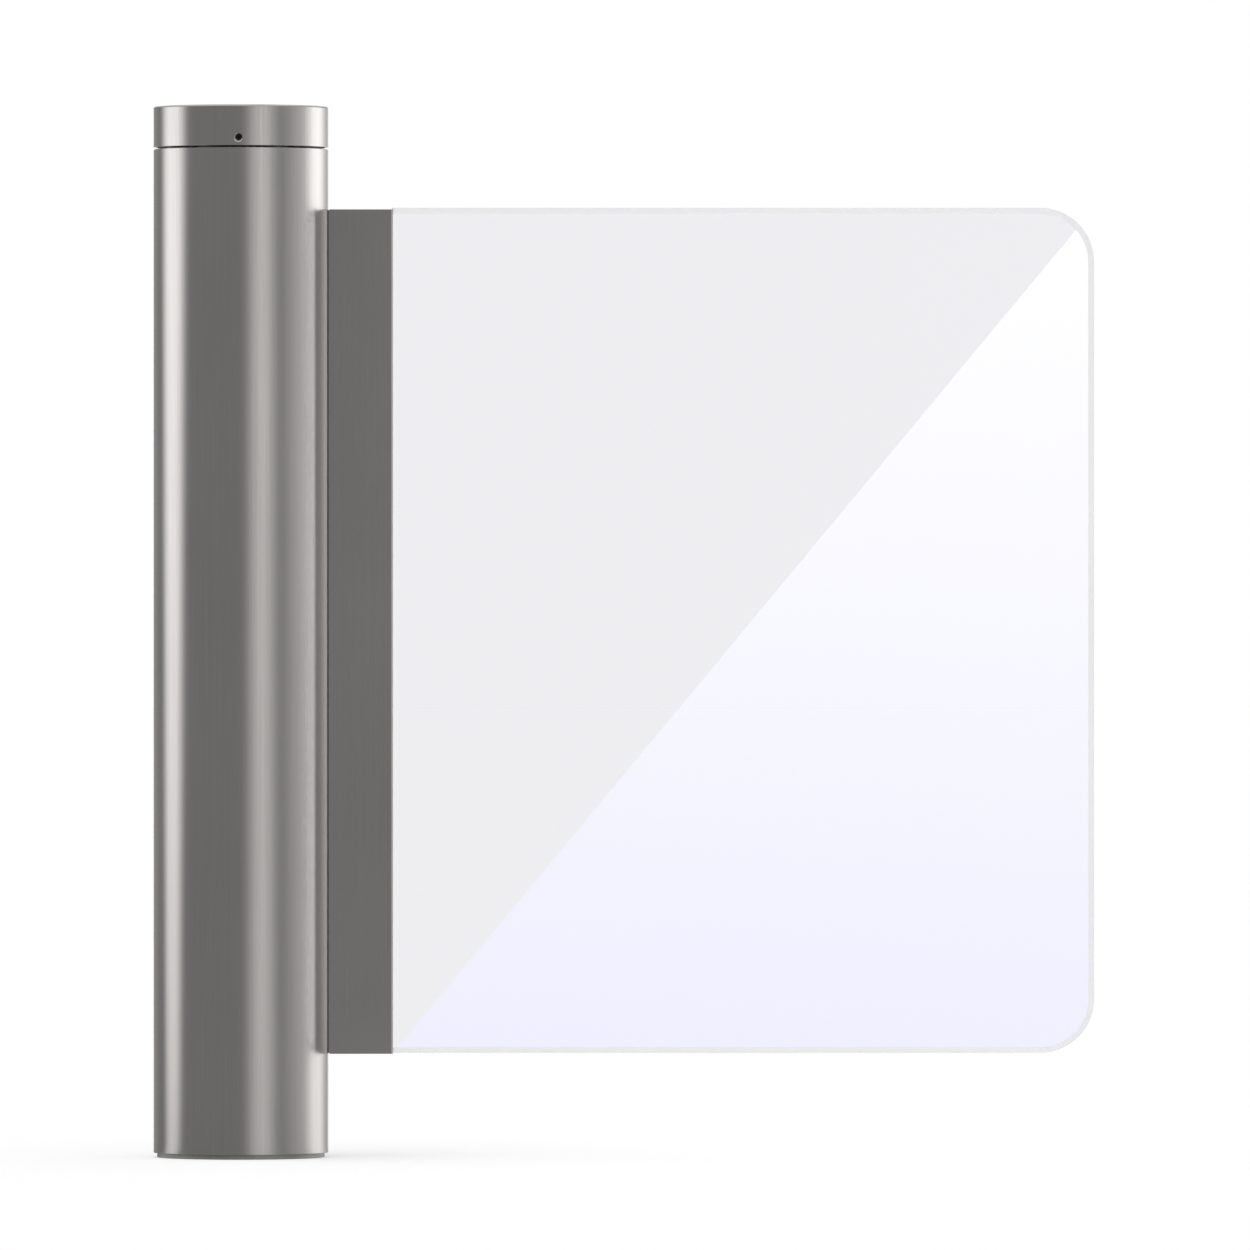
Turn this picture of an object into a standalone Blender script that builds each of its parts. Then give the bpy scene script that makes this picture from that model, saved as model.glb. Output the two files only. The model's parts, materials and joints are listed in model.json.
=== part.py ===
"""Swing barrier gate: a clear wing clamped to a sleeve that turns round a fixed column.

The origin is on the column's axis at the floor, +Z is up and the closed wing points along +X.
The photographed face looks along -Y. Lengths are in metres.
"""

import math

import bmesh
import bpy
from mathutils import Matrix, Vector

OBJECT_NAME = "swing_barrier_gate"
MM = 0.001

# Fits and clearances
FIT = 0.3 * MM
RUN_GAP = 0.5 * MM
RACE_GAP = 0.8 * MM
SIDE_GAP = 1.0 * MM
CUT_OVERRUN = 2.0 * MM
MERGE = 0.01 * MM
SHARP_ANGLE = math.radians(30)

# Facets round a turned piece
SLEEVE_STEPS = 56
TURNED_STEPS = 26
PIN_STEPS = 16
SCREW_STEPS = 10

# Column
SLEEVE_OD = 168.0 * MM
SLEEVE_WALL = 3.0 * MM
SLEEVE_LENGTH = 962.5 * MM
FLOOR_GAP = 4.5 * MM
SEAM = 1.8 * MM
SLEEVE_RADIUS = SLEEVE_OD / 2
SLEEVE_BORE_RADIUS = SLEEVE_RADIUS - SLEEVE_WALL
SLEEVE_INSERT_RADIUS = SLEEVE_BORE_RADIUS - FIT
SLEEVE_TOP = FLOOR_GAP + SLEEVE_LENGTH

# Cap and its screws
CAP_HEIGHT = 39.2 * MM
CAP_WALL = 3.0 * MM
CAP_EDGE_RADIUS = 2.5 * MM
CAP_EDGE_POINTS = 4
CAP_BOTTOM = SLEEVE_TOP + SEAM
CAP_BORE_RADIUS = SLEEVE_RADIUS - CAP_WALL
CAP_SCREW_COUNT = 3
CAP_SCREW_OD = 6.0 * MM
CAP_SCREW_LENGTH = 8.0 * MM
CAP_SCREW_RECESS = 1.2 * MM
CAP_SCREW_RISE = 8.0 * MM
CAP_SCREW_HEIGHT = CAP_BOTTOM + CAP_SCREW_RISE
CAP_HOLE_RIM = 0.4 * MM
HEX_SOCKET = 3.4 * MM
HEX_SOCKET_DEPTH = 3.5 * MM
HEX_SIDES = 6

# Gear stage: a driven sun, three planets on fixed pins, and a ring that turns the sleeve
SUN_TEETH = 18
PLANET_TEETH = 18
RING_TEETH = SUN_TEETH + 2 * PLANET_TEETH
PLANET_COUNT = 3
PRESSURE_ANGLE = math.radians(20)
DEDENDUM_SHARE = 1.25
FLANK_SHARES = (0.0, 0.45, 1.0)
FACE_WIDTH = 16.0 * MM
BACKLASH = 0.25 * MM
RING_RIM = 10.075 * MM
MODULE = (SLEEVE_INSERT_RADIUS - RING_RIM) / (RING_TEETH / 2 + DEDENDUM_SHARE)
PLANET_PIN_OD = 14.0 * MM
SHAFT_OD = 14.0 * MM
PLANET_CIRCLE_RADIUS = MODULE * (SUN_TEETH + PLANET_TEETH) / 2
RING_TIP_RADIUS = MODULE * (RING_TEETH / 2 - 1)

# Decks that carry the gear stage, and the long screws that clamp them
DECK_MARGIN = 2.0 * MM
DECK_THICKNESS = 10.0 * MM
DECK_PIN_FLOOR = 2.0 * MM
DECK_PIN_DEPTH = DECK_THICKNESS - DECK_PIN_FLOOR
STACK_COUNT = 3
STACK_SCREW_OD = 6.0 * MM
STACK_HEAD_OD = 10.0 * MM
STACK_HEAD_HEIGHT = 6.0 * MM
STACK_HEAD_CLEARANCE = 2.3 * MM
SPACER_OD = 12.0 * MM
SPACER_CLEARANCE = 7.0 * MM
BUSH_OD = 24.0 * MM
STAGE_DEPTH = 139.4 * MM
DECK_RADIUS = RING_TIP_RADIUS - DECK_MARGIN
STACK_CIRCLE_RADIUS = RING_TIP_RADIUS - SPACER_CLEARANCE - SPACER_OD / 2
LOWER_DECK_BOTTOM = SLEEVE_TOP - STAGE_DEPTH
LOWER_DECK_TOP = LOWER_DECK_BOTTOM + DECK_THICKNESS
STAGE_BOTTOM = LOWER_DECK_TOP + SIDE_GAP
STAGE_TOP = STAGE_BOTTOM + FACE_WIDTH
UPPER_DECK_BOTTOM = STAGE_TOP + SIDE_GAP
UPPER_DECK_TOP = UPPER_DECK_BOTTOM + DECK_THICKNESS

# Base flange
BASE_THICKNESS = 12.0 * MM
BASE_RADIUS = SLEEVE_BORE_RADIUS - RUN_GAP
ANCHOR_COUNT = 4
ANCHOR_HOLE_OD = 13.0 * MM
ANCHOR_EDGE = 15.5 * MM
ANCHOR_CIRCLE_RADIUS = BASE_RADIUS - ANCHOR_EDGE
CABLE_HOLE_OD = 26.0 * MM
CABLE_HOLE_EDGE = 3.7 * MM

# Post, with a head flange at its top and a collar under the bearing
POST_WALL = 4.0 * MM
HEAD_THICKNESS = 10.0 * MM
HEAD_INSET = 3.0 * MM
COLLAR_WALL = 7.0 * MM
COLLAR_HEIGHT = 12.0 * MM
POST_RADIUS = STACK_CIRCLE_RADIUS - STACK_HEAD_OD / 2 - STACK_HEAD_CLEARANCE
POST_BORE_RADIUS = POST_RADIUS - POST_WALL
POST_BOTTOM = BASE_THICKNESS + FIT
POST_TOP = LOWER_DECK_BOTTOM - FIT
POST_LENGTH = POST_TOP - POST_BOTTOM
FLANGE_RADIUS = DECK_RADIUS - HEAD_INSET
CABLE_HOLE_OFFSET = POST_BORE_RADIUS - CABLE_HOLE_EDGE - CABLE_HOLE_OD / 2

# Ball bearing at the foot, which carries the sleeve's weight
BEARING_BOTTOM = 50.0 * MM
BEARING_WIDTH = 24.0 * MM
HUB_WALL = 10.4 * MM
HUB_LIP_WIDTH = 6.0 * MM
HUB_LIP_HEIGHT = 6.0 * MM
HUB_MARGIN = 3.0 * MM
RACE_WALL = 4.2 * MM
RACE_REACH = math.radians(50)
RACE_POINTS = 4
BALL_COUNT = 9
BALL_SEGMENTS = 6
BALL_RINGS = 5
CAGE_THICKNESS = 2.4 * MM
CAGE_HEIGHT = 8.0 * MM
CAGE_STEPS = 2 * BALL_COUNT
BEARING_BORE_RADIUS = POST_RADIUS + FIT
BEARING_RADIUS = SLEEVE_INSERT_RADIUS - HUB_WALL - FIT
BALL_CIRCLE_RADIUS = (BEARING_BORE_RADIUS + BEARING_RADIUS) / 2
RACE_RADIUS = (BEARING_RADIUS - BEARING_BORE_RADIUS) / 2 - RACE_WALL
BALL_RADIUS = RACE_RADIUS - RACE_GAP
RACE_LAND = RACE_RADIUS * math.cos(RACE_REACH)

# Guide bush at the top, which keeps the sleeve upright
GUIDE_DEPTH = 33.0 * MM
GUIDE_HEIGHT = 18.0 * MM
GUIDE_WALL = 6.0 * MM
GUIDE_LIP_WIDTH = 4.0 * MM
GUIDE_LIP_HEIGHT = 3.0 * MM
GUIDE_BOTTOM = SLEEVE_TOP - GUIDE_DEPTH
GUIDE_INNER_RADIUS = POST_RADIUS + RUN_GAP
GUIDE_OUTER_RADIUS = GUIDE_INNER_RADIUS + GUIDE_WALL

# End stops of the swing
STOP_PIN_OD = 6.0 * MM
STOP_PIN_DEPTH = 8.0 * MM
STOP_PIN_RISE = 2.0 * MM
STOP_MARGIN = 1.0 * MM
STOP_SECTOR_CLEARANCE = 2.0 * MM
BUFFER_OD = 9.0 * MM
BUFFER_LENGTH = 5.0 * MM
BUFFER_INSET = 0.5 * MM
STOP_PIN_RADIUS = SLEEVE_INSERT_RADIUS - RING_RIM / 2
STOP_SECTOR_RADIUS = SLEEVE_BORE_RADIUS - STOP_SECTOR_CLEARANCE

# Spigot that carries the guide bush and the cap
SPIGOT_FLANGE_THICKNESS = 8.0 * MM
SPIGOT_WALL = 6.0 * MM
CARRIER_THICKNESS = 15.0 * MM
CARRIER_BOSS_WALL = 10.4 * MM
CARRIER_BOSS_DEPTH = 12.0 * MM
CARRIER_BOTTOM = CAP_BOTTOM + SIDE_GAP
SPIGOT_BORE_RADIUS = POST_RADIUS - SPIGOT_WALL
SPIGOT_BOTTOM = UPPER_DECK_TOP + FIT
SPIGOT_TOP = CARRIER_BOTTOM - FIT

# Drive, hung under the lower deck
MOTOR_CLEARANCE = 2.7 * MM
MOTOR_LENGTH = 140.0 * MM
MOTOR_PILOT_RADIUS = 15.0 * MM
MOTOR_PILOT_HEIGHT = 4.0 * MM
MOTOR_SOCKET_DEPTH = 20.0 * MM
GEARHEAD_LENGTH = 45.0 * MM
GEARHEAD_STEP = 2.0 * MM
MOTOR_SCREW_COUNT = 3
MOTOR_SCREW_OD = 5.0 * MM
MOTOR_SCREW_HEAD_OD = 8.5 * MM
MOTOR_SCREW_HEAD_HEIGHT = 5.0 * MM
MOTOR_SCREW_REACH = 12.0 * MM
MOTOR_SCREW_EDGE = 11.0 * MM
BRAKE_STEP = 4.0 * MM
BRAKE_LENGTH = 35.0 * MM
ENCODER_STEP = 10.0 * MM
ENCODER_LENGTH = 22.0 * MM
MOTOR_RADIUS = POST_BORE_RADIUS - MOTOR_CLEARANCE
BRAKE_RADIUS = MOTOR_RADIUS - BRAKE_STEP
ENCODER_RADIUS = BRAKE_RADIUS - ENCODER_STEP
MOTOR_TOP = LOWER_DECK_BOTTOM - FIT
MOTOR_BOTTOM = MOTOR_TOP - MOTOR_LENGTH
MOTOR_SCREW_CIRCLE_RADIUS = MOTOR_RADIUS - MOTOR_SCREW_EDGE
MOTOR_SCREW_SEAT = LOWER_DECK_TOP - MOTOR_SCREW_HEAD_HEIGHT - FIT

# Control board on a plate in front of the post
BOARD_PLATE_WIDTH = 50.0 * MM
BOARD_PLATE_LENGTH = 200.0 * MM
BOARD_PLATE_THICKNESS = 2.0 * MM
BOARD_PLATE_BOTTOM = 320.0 * MM
BOARD_EDGE = 2.0 * MM
BOARD_END = 5.0 * MM
BOARD_THICKNESS = 1.6 * MM
STANDOFF_OD = 5.0 * MM
STANDOFF_HEIGHT = 8.0 * MM
STANDOFF_INSET = 6.0 * MM
COMPONENT_HEIGHT = 5.0 * MM
BOARD_WIDTH = BOARD_PLATE_WIDTH - 2 * BOARD_EDGE
BOARD_LENGTH = BOARD_PLATE_LENGTH - 2 * BOARD_END
# Places and sizes of the board's components: across, up, width, length, height
COMPONENT_SHARES = (
    (0.0, 0.36, 0.46, 0.14, 1.0),
    (0.0, 0.13, 0.40, 0.18, 0.5),
    (-0.10, -0.10, 0.20, 0.12, 1.0),
    (0.14, -0.10, 0.18, 0.12, 0.7),
    (0.0, -0.36, 0.48, 0.16, 1.0),
)

# Clamp bracket on the sleeve
BRACKET_WIDTH = 61.7 * MM
BRACKET_FOOT_MARGIN = 94.6 * MM
BRACKET_HEAD_MARGIN = 57.3 * MM
PLATE_THICKNESS = 2.0 * MM
PLATE_EDGE = 0.8 * MM
PLATE_EDGE_SEGMENTS = 2
SPINE_WIDTH = 20.0 * MM
GASKET_THICKNESS = 1.0 * MM
GASKET_INSET = 1.0 * MM
CLAMP_COUNT = 4
CLAMP_END_MARGIN = 60.0 * MM
BOSS_OD = 12.0 * MM
BOSS_FLOOR = 1.6 * MM
CLAMP_SCREW_OD = 5.0 * MM
CLAMP_SCREW_END_GAP = 2.6 * MM
BUTTON_HEAD_OD = 9.5 * MM
BUTTON_HEAD_HEIGHT = 2.7 * MM
# Shares of the button head's radius and height on its dome, from the crown down
BUTTON_DOME_SHARES = ((0.5, 1.0), (0.84, 0.6), (1.0, 0.0))

# Clear panel
WING_REACH = 819.0 * MM
PANEL_FOOT_STEP = 0.8 * MM
PANEL_HEAD_STEP = 1.4 * MM
PANEL_THICKNESS = 8.0 * MM
PANEL_CORNER_RADIUS = 52.0 * MM
PANEL_CORNER_POINTS = 12
PANEL_EDGE_BAND = 5.8 * MM
PANEL_EDGE_DEPTH = 1.5 * MM

# Places that the bracket and the panel share
BRACKET_INNER_X = SLEEVE_RADIUS + FIT
BRACKET_OUTER_X = BRACKET_INNER_X + BRACKET_WIDTH
BRACKET_BOTTOM = FLOOR_GAP + BRACKET_FOOT_MARGIN
BRACKET_TOP = SLEEVE_TOP - BRACKET_HEAD_MARGIN
CAVITY_HALF = PANEL_THICKNESS / 2 + GASKET_THICKNESS + 2 * FIT
SPINE_OUTER_X = BRACKET_INNER_X + SPINE_WIDTH
PANEL_INNER_X = SPINE_OUTER_X + FIT
PANEL_BOTTOM = BRACKET_BOTTOM + PANEL_FOOT_STEP
PANEL_TOP = BRACKET_TOP + PANEL_HEAD_STEP
CLAMP_X = (SPINE_OUTER_X + BRACKET_OUTER_X) / 2
BOSS_LENGTH = 2 * (CAVITY_HALF - FIT)
BOSS_HOLE_DEPTH = BOSS_LENGTH - BOSS_FLOOR
CLAMP_SCREW_LENGTH = PLATE_THICKNESS + 2 * FIT + BOSS_HOLE_DEPTH - CLAMP_SCREW_END_GAP

FINISHES = {
    "satin_steel": ((0.62, 0.61, 0.59), 0.28, 1.0),
    "zinc_steel": ((0.45, 0.45, 0.46), 0.42, 1.0),
    "bearing_steel": ((0.55, 0.55, 0.56), 0.22, 1.0),
    "gear_steel": ((0.38, 0.38, 0.39), 0.35, 1.0),
    "black_steel": ((0.02, 0.02, 0.02), 0.5, 1.0),
    "dark_housing": ((0.06, 0.06, 0.065), 0.5, 0.0),
    "bronze": ((0.72, 0.48, 0.22), 0.35, 1.0),
    "polymer": ((0.75, 0.74, 0.7), 0.45, 0.0),
    "rubber": ((0.03, 0.03, 0.03), 0.8, 0.0),
    "board_green": ((0.03, 0.2, 0.09), 0.5, 0.0),
    "clear_acrylic": ((0.88, 0.88, 0.93), 0.06, 0.0),
}


def clear_scene():
    """Remove every object of the scene that the script runs in."""
    for obj in list(bpy.data.objects):
        bpy.data.objects.remove(obj)


def new_collection(name):
    collection = bpy.data.collections.new(name)
    bpy.context.scene.collection.children.link(collection)
    return collection


clear_scene()
PARTS = new_collection(OBJECT_NAME)
CUTTERS = new_collection(OBJECT_NAME + "_cutters")


# Materials

def finish_material(name, finish):
    """Return a part's own Principled material, with the values of a named finish."""
    colour, roughness, metallic = FINISHES[finish]
    material = bpy.data.materials.new(name)
    material.use_nodes = True
    shader = material.node_tree.nodes["Principled BSDF"]
    shader.inputs["Base Color"].default_value = (*colour, 1.0)
    shader.inputs["Roughness"].default_value = roughness
    shader.inputs["Metallic"].default_value = metallic
    return material


# Meshes

def shade(mesh):
    mesh.shade_smooth()
    mesh.set_sharp_from_angle(angle=SHARP_ANGLE)
    return mesh


def evaluated_mesh(guide):
    """Return a welded mesh of a guide object as it evaluates, and remove the guide."""
    guide.hide_render = True
    bpy.context.view_layer.update()
    depsgraph = bpy.context.evaluated_depsgraph_get()
    mesh = bpy.data.meshes.new_from_object(guide.evaluated_get(depsgraph))
    bpy.data.objects.remove(guide)
    work = bmesh.new()
    work.from_mesh(mesh)
    bmesh.ops.remove_doubles(work, verts=work.verts, dist=MERGE)
    work.to_mesh(mesh)
    work.free()
    return shade(mesh)


def turned(profile, steps=TURNED_STEPS):
    """Turn (radius, height) points about Z. They run down the outer side."""
    vertices = [(radius, 0, height) for radius, height in profile]
    edges = [(index, index + 1) for index in range(len(profile) - 1)]
    if profile[0][0] > 0:
        edges.append((len(profile) - 1, 0))
    mesh = bpy.data.meshes.new("profile")
    mesh.from_pydata(vertices, edges, [])
    guide = bpy.data.objects.new("profile", mesh)
    CUTTERS.objects.link(guide)
    screw = guide.modifiers.new("turn", "SCREW")
    screw.axis = "Z"
    screw.steps = steps
    screw.render_steps = steps
    screw.use_merge_vertices = True
    screw.merge_threshold = MERGE
    return evaluated_mesh(guide)


def extruded(outlines, thickness):
    """Extrude closed (x, y) outlines along Z from zero, inner ones being holes."""
    curve = bpy.data.curves.new("outline", "CURVE")
    curve.dimensions = "2D"
    curve.fill_mode = "BOTH"
    curve.extrude = thickness / 2
    for outline in outlines:
        spline = curve.splines.new("POLY")
        spline.points.add(len(outline) - 1)
        for point, (x, y) in zip(spline.points, outline):
            point.co = (x, y, 0, 1)
        spline.use_cyclic_u = True
    guide = bpy.data.objects.new("outline", curve)
    CUTTERS.objects.link(guide)
    mesh = evaluated_mesh(guide)
    mesh.transform(Matrix.Translation((0, 0, thickness / 2)))
    return mesh


def cylinder(radius, height, steps=PIN_STEPS):
    """Return a cylinder along Z that starts at zero height."""
    mesh = bpy.data.meshes.new("cylinder")
    work = bmesh.new()
    # Half a facet of turn keeps a drill's corners off the corner lines of what it cuts
    half_facet = Matrix.Rotation(math.pi / steps, 4, "Z")
    bmesh.ops.create_cone(
        work,
        cap_ends=True,
        segments=steps,
        radius1=radius,
        radius2=radius,
        depth=height,
        matrix=Matrix.Translation((0, 0, height / 2)) @ half_facet,
    )
    work.to_mesh(mesh)
    work.free()
    return shade(mesh)


def box(low, high):
    """Return a box between two corners."""
    low = Vector(low)
    high = Vector(high)
    mesh = bpy.data.meshes.new("box")
    work = bmesh.new()
    size = Matrix.Diagonal((*(high - low), 1))
    bmesh.ops.create_cube(work, size=1, matrix=Matrix.Translation((low + high) / 2) @ size)
    work.to_mesh(mesh)
    work.free()
    return mesh


def circle(radius, steps=PIN_STEPS, centre=(0, 0)):
    turns = [2 * math.pi * index / steps for index in range(steps)]
    return [
        (centre[0] + radius * math.cos(turn), centre[1] + radius * math.sin(turn))
        for turn in turns
    ]


# Objects

def polar(radius, angle, height=0.0):
    return Vector((radius * math.cos(angle), radius * math.sin(angle), height))


def axis_empty(name, place=(0, 0, 0)):
    """Add an empty on a joint's axis; the pieces that turn together hang on it."""
    empty = bpy.data.objects.new(name, None)
    empty.location = place
    PARTS.objects.link(empty)
    return empty


def add(name, mesh, finish, parent, place=(0, 0, 0), turn=(0, 0, 0)):
    """Add a part at a place given in world coordinates."""
    mesh.name = name
    mesh.materials.clear()
    mesh.materials.append(finish_material(name, finish))
    obj = bpy.data.objects.new(name, mesh)
    obj.parent = parent
    obj.location = Vector(place) - parent.location
    obj.rotation_euler = turn
    PARTS.objects.link(obj)
    return obj


def apply_tool(target, mesh, place, turn, operation):
    """Cut a tool from a part, or join it on, with a Boolean modifier."""
    tool = bpy.data.objects.new(target.name + "_tool", mesh)
    tool.location = place
    tool.rotation_euler = turn
    tool.hide_render = True
    tool.display_type = "WIRE"
    CUTTERS.objects.link(tool)
    boolean = target.modifiers.new("shape", "BOOLEAN")
    boolean.operation = operation
    boolean.object = tool


def cut(target, mesh, place=(0, 0, 0), turn=(0, 0, 0)):
    apply_tool(target, mesh, place, turn, "DIFFERENCE")


def join(target, mesh, place=(0, 0, 0), turn=(0, 0, 0)):
    apply_tool(target, mesh, place, turn, "UNION")


def drill(target, radius, place, depth, steps=PIN_STEPS, turn=(0, 0, 0)):
    """Cut a hole that starts at a place and runs along the turned Z."""
    cut(target, cylinder(radius, depth, steps), place, turn)


def spread(count, start=0.0):
    """Angles of equal steps round the column."""
    return [start + 2 * math.pi * index / count for index in range(count)]


PLANET_ANGLES = spread(PLANET_COUNT)
STACK_ANGLES = spread(STACK_COUNT, math.pi / STACK_COUNT)
MOTOR_SCREW_ANGLES = spread(MOTOR_SCREW_COUNT, math.pi / MOTOR_SCREW_COUNT)
CAP_SCREW_ANGLES = spread(CAP_SCREW_COUNT, -math.pi / 2)
ANCHOR_ANGLES = spread(ANCHOR_COUNT, math.pi / ANCHOR_COUNT)

# Rotations that point a piece's Z along +Y and -Y
ALONG_Y = (-math.pi / 2, 0, 0)
AGAINST_Y = (math.pi / 2, 0, 0)


# Fixed column

def base_flange(parent):
    mesh = cylinder(BASE_RADIUS, BASE_THICKNESS, SLEEVE_STEPS)
    flange = add("base_flange", mesh, "zinc_steel", parent)
    depth = BASE_THICKNESS + 2 * CUT_OVERRUN
    for angle in ANCHOR_ANGLES:
        place = polar(ANCHOR_CIRCLE_RADIUS, angle, -CUT_OVERRUN)
        drill(flange, ANCHOR_HOLE_OD / 2, place, depth)
    drill(flange, CABLE_HOLE_OD / 2, (0, CABLE_HOLE_OFFSET, -CUT_OVERRUN), depth)


def post(parent):
    """The fixed tube, with the head flange that takes the clamping screws."""
    profile = [
        (FLANGE_RADIUS, POST_LENGTH),
        (FLANGE_RADIUS, POST_LENGTH - HEAD_THICKNESS),
        (POST_RADIUS, POST_LENGTH - HEAD_THICKNESS),
        (POST_RADIUS, 0),
        (POST_BORE_RADIUS, 0),
        (POST_BORE_RADIUS, POST_LENGTH),
    ]
    tube = add("post", turned(profile), "zinc_steel", parent, (0, 0, POST_BOTTOM))
    bottom = POST_TOP - HEAD_THICKNESS - CUT_OVERRUN
    for angle in STACK_ANGLES:
        place = polar(STACK_CIRCLE_RADIUS, angle, bottom)
        drill(tube, STACK_SCREW_OD / 2 + FIT, place, HEAD_THICKNESS + 2 * CUT_OVERRUN, SCREW_STEPS)


def bearing_collar(parent):
    """The welded ring that the bearing's inner ring stands on."""
    bottom = BEARING_BOTTOM - FIT - COLLAR_HEIGHT
    inner = POST_RADIUS + FIT
    outer = inner + COLLAR_WALL
    profile = [
        (outer, COLLAR_HEIGHT),
        (outer, 0),
        (inner, 0),
        (inner, COLLAR_HEIGHT),
    ]
    add("bearing_collar", turned(profile), "zinc_steel", parent, (0, 0, bottom))


# Ball bearing

def race_arc(side):
    """Groove points from low to high; side is -1 on the inner ring and 1 on the outer."""
    arc = []
    for index in range(RACE_POINTS):
        angle = RACE_REACH * (2 * index / (RACE_POINTS - 1) - 1)
        radius = BALL_CIRCLE_RADIUS + side * RACE_RADIUS * math.cos(angle)
        arc.append((radius, BEARING_WIDTH / 2 + RACE_RADIUS * math.sin(angle)))
    return arc


def bearing_inner_ring(parent):
    land = BALL_CIRCLE_RADIUS - RACE_LAND
    profile = [(land, BEARING_WIDTH)]
    profile += reversed(race_arc(-1))
    profile += [(land, 0), (BEARING_BORE_RADIUS, 0), (BEARING_BORE_RADIUS, BEARING_WIDTH)]
    add("bearing_inner_ring", turned(profile), "bearing_steel", parent, (0, 0, BEARING_BOTTOM))


def bearing_outer_ring(parent):
    land = BALL_CIRCLE_RADIUS + RACE_LAND
    profile = [(BEARING_RADIUS, BEARING_WIDTH), (BEARING_RADIUS, 0), (land, 0)]
    profile += race_arc(1)
    profile += [(land, BEARING_WIDTH)]
    add("bearing_outer_ring", turned(profile), "bearing_steel", parent, (0, 0, BEARING_BOTTOM))


def ball_ring():
    """All the balls, as one mesh to join to their cage."""
    mesh = bpy.data.meshes.new("balls")
    work = bmesh.new()
    for angle in spread(BALL_COUNT):
        bmesh.ops.create_uvsphere(
            work,
            u_segments=BALL_SEGMENTS,
            v_segments=BALL_RINGS,
            radius=BALL_RADIUS,
            matrix=Matrix.Translation(polar(BALL_CIRCLE_RADIUS, angle)),
        )
    work.to_mesh(mesh)
    work.free()
    return mesh


def bearing_balls(parent):
    inner = BALL_CIRCLE_RADIUS - CAGE_THICKNESS / 2
    outer = BALL_CIRCLE_RADIUS + CAGE_THICKNESS / 2
    half = CAGE_HEIGHT / 2
    profile = [(outer, half), (outer, -half), (inner, -half), (inner, half)]
    middle = (0, 0, BEARING_BOTTOM + BEARING_WIDTH / 2)
    cage = add("bearing_balls", turned(profile, CAGE_STEPS), "bearing_steel", parent, middle)
    join(cage, ball_ring(), middle)


# Gears

def involute(angle):
    return math.tan(angle) - angle


def half_thickness(radius, teeth, play):
    """Half the angle that a tooth takes up at a radius, thinner by the play at the pitch circle."""
    pitch_radius = MODULE * teeth / 2
    base_radius = pitch_radius * math.cos(PRESSURE_ANGLE)
    lean = involute(math.acos(base_radius / radius)) if radius > base_radius else 0.0
    return math.pi / (2 * teeth) - play / (2 * pitch_radius) + involute(PRESSURE_ANGLE) - lean


def tooth_outline(teeth, root_radius, tip_radius, play, turn=0.0):
    """Outline of a toothed wheel with a tooth at the given turn."""
    base_radius = MODULE * teeth / 2 * math.cos(PRESSURE_ANGLE)
    start = max(root_radius, base_radius)
    radii = [start + share * (tip_radius - start) for share in FLANK_SHARES]
    if root_radius < start:
        radii.insert(0, root_radius)
    outline = []
    for centre in spread(teeth, turn):
        for radius in radii:
            outline.append(polar(radius, centre - half_thickness(radius, teeth, play)).xy)
        for radius in reversed(radii):
            outline.append(polar(radius, centre + half_thickness(radius, teeth, play)).xy)
    return outline


def spur_gear(teeth, bore_radius):
    pitch_radius = MODULE * teeth / 2
    root_radius = pitch_radius - DEDENDUM_SHARE * MODULE
    teeth_outline = tooth_outline(teeth, root_radius, pitch_radius + MODULE, BACKLASH)
    return extruded([teeth_outline, circle(bore_radius)], FACE_WIDTH)


def sun_gear(parent):
    mesh = spur_gear(SUN_TEETH, SHAFT_OD / 2 + FIT)
    add("sun_gear", mesh, "gear_steel", parent, (0, 0, STAGE_BOTTOM))


def planet_gears(axes):
    """Each planet is turned half a tooth, so that a gap faces the sun's tooth."""
    half_tooth = math.pi / PLANET_TEETH
    for number, (angle, axis) in enumerate(zip(PLANET_ANGLES, axes), 1):
        mesh = spur_gear(PLANET_TEETH, PLANET_PIN_OD / 2 + FIT)
        place = polar(PLANET_CIRCLE_RADIUS, angle, STAGE_BOTTOM)
        add(f"planet_gear_{number}", mesh, "gear_steel", axis, place, (0, 0, angle + half_tooth))


def ring_gear(parent):
    """The ring in the sleeve. Its tooth spaces have the outline of an outer gear's teeth."""
    half_tooth = math.pi / RING_TEETH
    space_tip = SLEEVE_INSERT_RADIUS - RING_RIM
    spaces = tooth_outline(RING_TEETH, RING_TIP_RADIUS, space_tip, -BACKLASH, half_tooth)
    mesh = extruded([circle(SLEEVE_INSERT_RADIUS, TURNED_STEPS), spaces], FACE_WIDTH)
    gear = add("ring_gear", mesh, "gear_steel", parent, (0, 0, STAGE_BOTTOM))
    place = (0, STOP_PIN_RADIUS, STAGE_TOP - STOP_PIN_DEPTH)
    drill(gear, STOP_PIN_OD / 2 + FIT, place, STOP_PIN_DEPTH + CUT_OVERRUN, SCREW_STEPS)


# Decks and what clamps them

def drill_deck(deck, bottom, pin_holes_from):
    """Drill a deck for the long screws, and for the planet pins' blind ends."""
    through = DECK_THICKNESS + 2 * CUT_OVERRUN
    for angle in STACK_ANGLES:
        place = polar(STACK_CIRCLE_RADIUS, angle, bottom - CUT_OVERRUN)
        drill(deck, STACK_SCREW_OD / 2 + FIT, place, through, SCREW_STEPS)
    for angle in PLANET_ANGLES:
        place = polar(PLANET_CIRCLE_RADIUS, angle, pin_holes_from)
        drill(deck, PLANET_PIN_OD / 2 + FIT, place, DECK_PIN_DEPTH + CUT_OVERRUN)


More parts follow.
